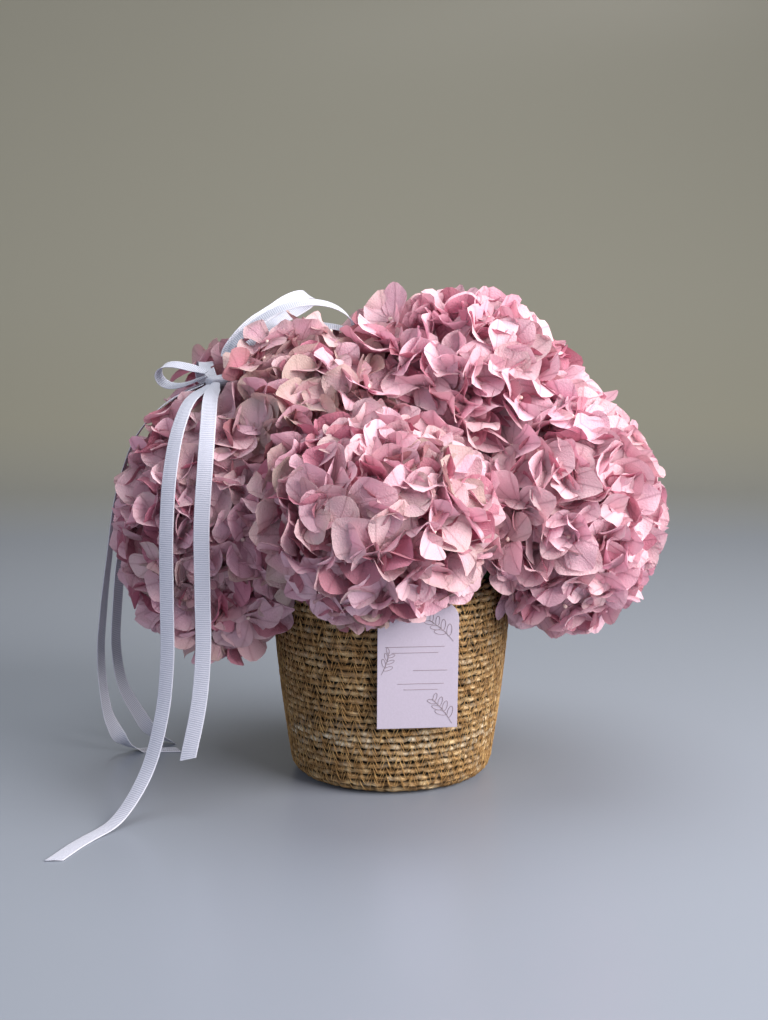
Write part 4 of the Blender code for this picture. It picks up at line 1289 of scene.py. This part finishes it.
def make_stage(settings):
    """A pale floor that curves up into a plain wall behind, a soft key light from the right,
    a weak fill from the left, one from above, and the camera."""
    turn = np.linspace(0.0, math.pi / 2, 24)
    curve = np.stack((FLOOR_BACK + FLOOR_BEND * np.sin(turn),
                      FLOOR_BEND - FLOOR_BEND * np.cos(turn)), axis=1)
    line = np.concatenate((((FLOOR_FRONT, 0.0),), curve,
                           ((FLOOR_BACK + FLOOR_BEND, WALL_TOP),)))
    across = np.array((-FLOOR_HALF, FLOOR_HALF))
    grid = np.stack(np.broadcast_arrays(across[:, None], line[:, 0], line[:, 1]), axis=-1)
    mesh = bpy.data.meshes.new("floor")
    mesh.from_pydata(grid.reshape(-1, 3).tolist(), [],
                     grid_quads(2, len(line))[:, ::-1].tolist())
    mesh.shade_smooth()
    floor = new_object("floor", mesh)
    made, tree, shader = new_material("painted board, satin")
    place = add(tree, "ShaderNodeTexCoord").outputs["Object"]
    axes = add(tree, "ShaderNodeSeparateXYZ", links=[(0, place)])
    share = add(tree, "ShaderNodeMapRange", links=[(0, axes.outputs[1])], in_1=1.0, in_2=1.9)
    tree.links.new(blend_colours(tree, share.outputs[0], settings.floor, settings.wall),
                   shader.inputs["Base Color"])
    shader.inputs["Roughness"].default_value = 0.32
    mesh.materials.append(made)
    world = bpy.data.worlds.new("studio")
    world.use_nodes = True
    world.node_tree.nodes["Background"].inputs[0].default_value = (*linear("#D2D4DB"), 1.0)
    world.node_tree.nodes["Background"].inputs[1].default_value = settings.ambient
    bpy.context.scene.world = world
    bpy.context.scene.view_settings.view_transform = "Standard"
    for name, where, size, power, colour in LIGHTS:
        data = bpy.data.lights.new(name, "AREA")
        data.shape = "DISK"
        data.size = size
        data.energy = settings.key_power * power
        data.color = linear(colour)
        light = new_object(name, data)
        light.location = where
        light.rotation_euler = (Vector(LIT_POINT) - Vector(where)).to_track_quat(
            "-Z", "Y").to_euler()
    data = bpy.data.cameras.new("camera")
    data.sensor_fit = "VERTICAL"
    data.sensor_height = SENSOR
    data.lens = LENS
    camera = new_object("camera", data)
    camera.location = CAMERA_PLACE
    camera.rotation_euler = (math.radians(CAMERA_TILT), 0.0, 0.0)
    bpy.context.scene.camera = camera


# ---- the add-on --------------------------------------------------------------------------
def colour_setting(name, description, code):
    """A setting for a colour, with an sRGB hex default."""
    return FloatVectorProperty(name=name, description=description, default=linear(code),
                               subtype="COLOR")


def length_setting(name, description, default):
    """A setting for a length in metres."""
    return FloatProperty(name=name, description=description, default=default, unit="LENGTH")


class HydrangeaBasketSettings(bpy.types.PropertyGroup):
    """Sizes and colours of the coiled basket."""
    rope_pitch: length_setting("Row spacing", "From one row of rope to the next", 0.0045)
    rope_step: length_setting("Rope step", "From one ring of the rope's mesh to the next", 0.0023)
    tuft_length: length_setting("Tuft length", "From one stitch to the next", 0.0076)
    stitch_width: length_setting("Stitch width", "Width of one zigzag", 0.0100)
    stitch_thick: length_setting("Stitch thickness", "Thickness of the strip", 0.00048)
    straw: colour_setting("Straw", "Colour of most of the rope", "#AB8452")
    straw_dark: colour_setting("Dark straw", "Colour of its dark fibres", "#4F3A24")
    straw_light: colour_setting("Light straw", "Colour of its light fibres", "#DEC79B")
    stitch: colour_setting("Stitch", "Colour of the stitching", "#A9834E")


class HydrangeaBloomSettings(bpy.types.PropertyGroup):
    """Sizes and colours of the flower heads."""
    sepal_length: length_setting("Sepal length", "Length of a middling sepal", 0.0245)
    outer_florets: IntProperty(name="Outer florets", description="Florets over a whole head",
                               default=190)
    inner_florets: IntProperty(name="Inner florets", description="Florets in the layer below",
                               default=100)
    petal_deep: colour_setting("Deep pink", "Colour of the darkest sepals", "#ECBDD1")
    petal_middle: colour_setting("Pink", "Colour of most sepals", "#F9D7E6")
    petal_bright: colour_setting("Light pink", "Colour of the lightest", "#FBDFE7")
    petal_dry: colour_setting("Dried", "Colour where a sepal has dried", "#C6B8A8")


class HydrangeaBowSettings(bpy.types.PropertyGroup):
    """Sizes and colours of the ribbon and the card."""
    ribbon_width: length_setting("Ribbon width", "Across the ribbon", RIBBON_WIDTH)
    rib_pitch: length_setting("Rib spacing", "From one rib to the next", 0.00135)
    ribbon: colour_setting("Ribbon", "Colour of its ribs", "#C4C7D3")
    # painted shade: the grooves' colour is a darker, shaded copy of the ribbon's
    ribbon_shade: colour_setting("Ribbon grooves", "Colour between ribs", "#9CA1B3")
    card: colour_setting("Card", "Colour of the card", "#B3ABBA")
    ink: colour_setting("Ink", "Colour of the print", "#8E8288")


class HydrangeaStageSettings(bpy.types.PropertyGroup):
    """Colours and light of the studio."""
    floor: colour_setting("Floor", "Colour of the floor", "#858C97")
    wall: colour_setting("Wall", "Colour of the wall behind", "#A5A393")
    key_power: FloatProperty(name="Key light", description="Power of the key light",
                             default=52.0, unit="POWER")
    ambient: FloatProperty(name="Ambient", description="Strength of the light from all sides",
                           default=0.56)


class HYDRANGEA_OT_stage(bpy.types.Operator):
    """Make the floor, the wall, the lights and the camera"""
    bl_idname = "hydrangea.stage"
    bl_label = "Studio"

    def execute(self, context):
        make_stage(context.scene.hydrangea_stage)
        return {"FINISHED"}


class HYDRANGEA_OT_basket(bpy.types.Operator):
    """Make the coiled rope and its stitching, and finish the liner and the foam"""
    bl_idname = "hydrangea.basket"
    bl_label = "Basket, liner and foam"

    def execute(self, context):
        settings = context.scene.hydrangea_basket
        for made in (make_rope(settings), make_stitching(settings)):
            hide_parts("basket")
        finish_node("liner", plain_material("polythene film, moulded", linear("#23251F"), 0.35,
                                            300.0, 0.2, 0.0002))
        finish_node("floral_foam", foam_material())
        return {"FINISHED"}


class HYDRANGEA_OT_blooms(bpy.types.Operator):
    """Make the florets, their beads and stalks, and finish the stems"""
    bl_idname = "hydrangea.blooms"
    bl_label = "Flower heads"

    def execute(self, context):
        settings = context.scene.hydrangea_bloom
        petals = petal_material(settings)
        bead = plain_material("flower bud, waxy", linear("#EFD9CF"), 0.4, 500.0, 0.12, 0.0002)
        stalk = plain_material("flower stalk, fresh", linear("#C9A79A"), 0.5, 260.0, 0.2,
                               0.0002)
        routes = ribbon_routes()
        ribbons = [tuple(part[::8] for part in route[1:]) for route in routes]
        loops = np.concatenate([route[1][::16] for route in routes if "loop" in route[0]])
        for seed, name in enumerate(HEADS):
            make_head(name, seed, settings, petals, bead, stalk, ribbons, loops)
        bark = stem_material()
        for name in HEADS:
            finish_node("stem_" + name, bark)
        return {"FINISHED"}


class HYDRANGEA_OT_card(bpy.types.Operator):
    """Make the card and its print, and finish its pad"""
    bl_idname = "hydrangea.card"
    bl_label = "Card"

    def execute(self, context):
        settings = context.scene.hydrangea_bow
        make_print(settings, *make_card(settings))
        finish_node("card_pad", plain_material("foam tape, white", linear("#E8E6DF"), 0.85,
                                               1500.0, 0.08, 0.0002))
        return {"FINISHED"}


class HYDRANGEA_OT_bow(bpy.types.Operator):
    """Make the bow's loops, tails and knot, and finish its pick"""
    bl_idname = "hydrangea.bow"
    bl_label = "Bow"

    def execute(self, context):
        settings = context.scene.hydrangea_bow
        material = ribbon_material(settings)
        for route in ribbon_routes():
            make_ribbon(*route, settings, material)
        make_knot(settings, material)
        finish_node("bow_pick", plain_material("birch pick, sawn", linear("#B08D5B"), 0.7,
                                               900.0, 0.2, 0.0003))
        return {"FINISHED"}


class HYDRANGEA_PT_pieces(bpy.types.Panel):
    """Buttons for each group of pieces"""
    bl_label = "Hydrangea basket"
    bl_space_type = "VIEW_3D"
    bl_region_type = "UI"
    bl_category = "Hydrangea"

    def draw(self, context):
        scene = context.scene
        for operator, group in (("stage", scene.hydrangea_stage),
                                ("basket", scene.hydrangea_basket),
                                ("blooms", scene.hydrangea_bloom),
                                ("card", scene.hydrangea_bow), ("bow", scene.hydrangea_bow)):
            box = self.layout.box()
            box.operator("hydrangea." + operator)
            for key in group.bl_rna.properties.keys():
                if key not in ("rna_type", "name") and operator != "card":
                    box.prop(group, key)


def finish_node(name, material):
    """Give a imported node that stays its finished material."""
    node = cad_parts[name]
    for place in node.material_slots:
        place.material = material


GROUPS = {"hydrangea_basket": HydrangeaBasketSettings, "hydrangea_bloom": HydrangeaBloomSettings,
          "hydrangea_bow": HydrangeaBowSettings, "hydrangea_stage": HydrangeaStageSettings}
CLASSES = (*GROUPS.values(), HYDRANGEA_OT_stage, HYDRANGEA_OT_basket, HYDRANGEA_OT_blooms,
           HYDRANGEA_OT_card, HYDRANGEA_OT_bow, HYDRANGEA_PT_pieces)


def register():
    for kind in CLASSES:
        bpy.utils.register_class(kind)
    for name, group in GROUPS.items():
        setattr(bpy.types.Scene, name, PointerProperty(type=group))


def unregister():
    for name in GROUPS:
        delattr(bpy.types.Scene, name)
    for kind in reversed(CLASSES):
        bpy.utils.unregister_class(kind)


def main():
    register()
    bpy.ops.hydrangea.stage()
    bpy.ops.hydrangea.basket()
    bpy.ops.hydrangea.blooms()
    bpy.ops.hydrangea.card()
    bpy.ops.hydrangea.bow()
    bpy.context.view_layer.update()


if __name__ == "__main__":
    main()
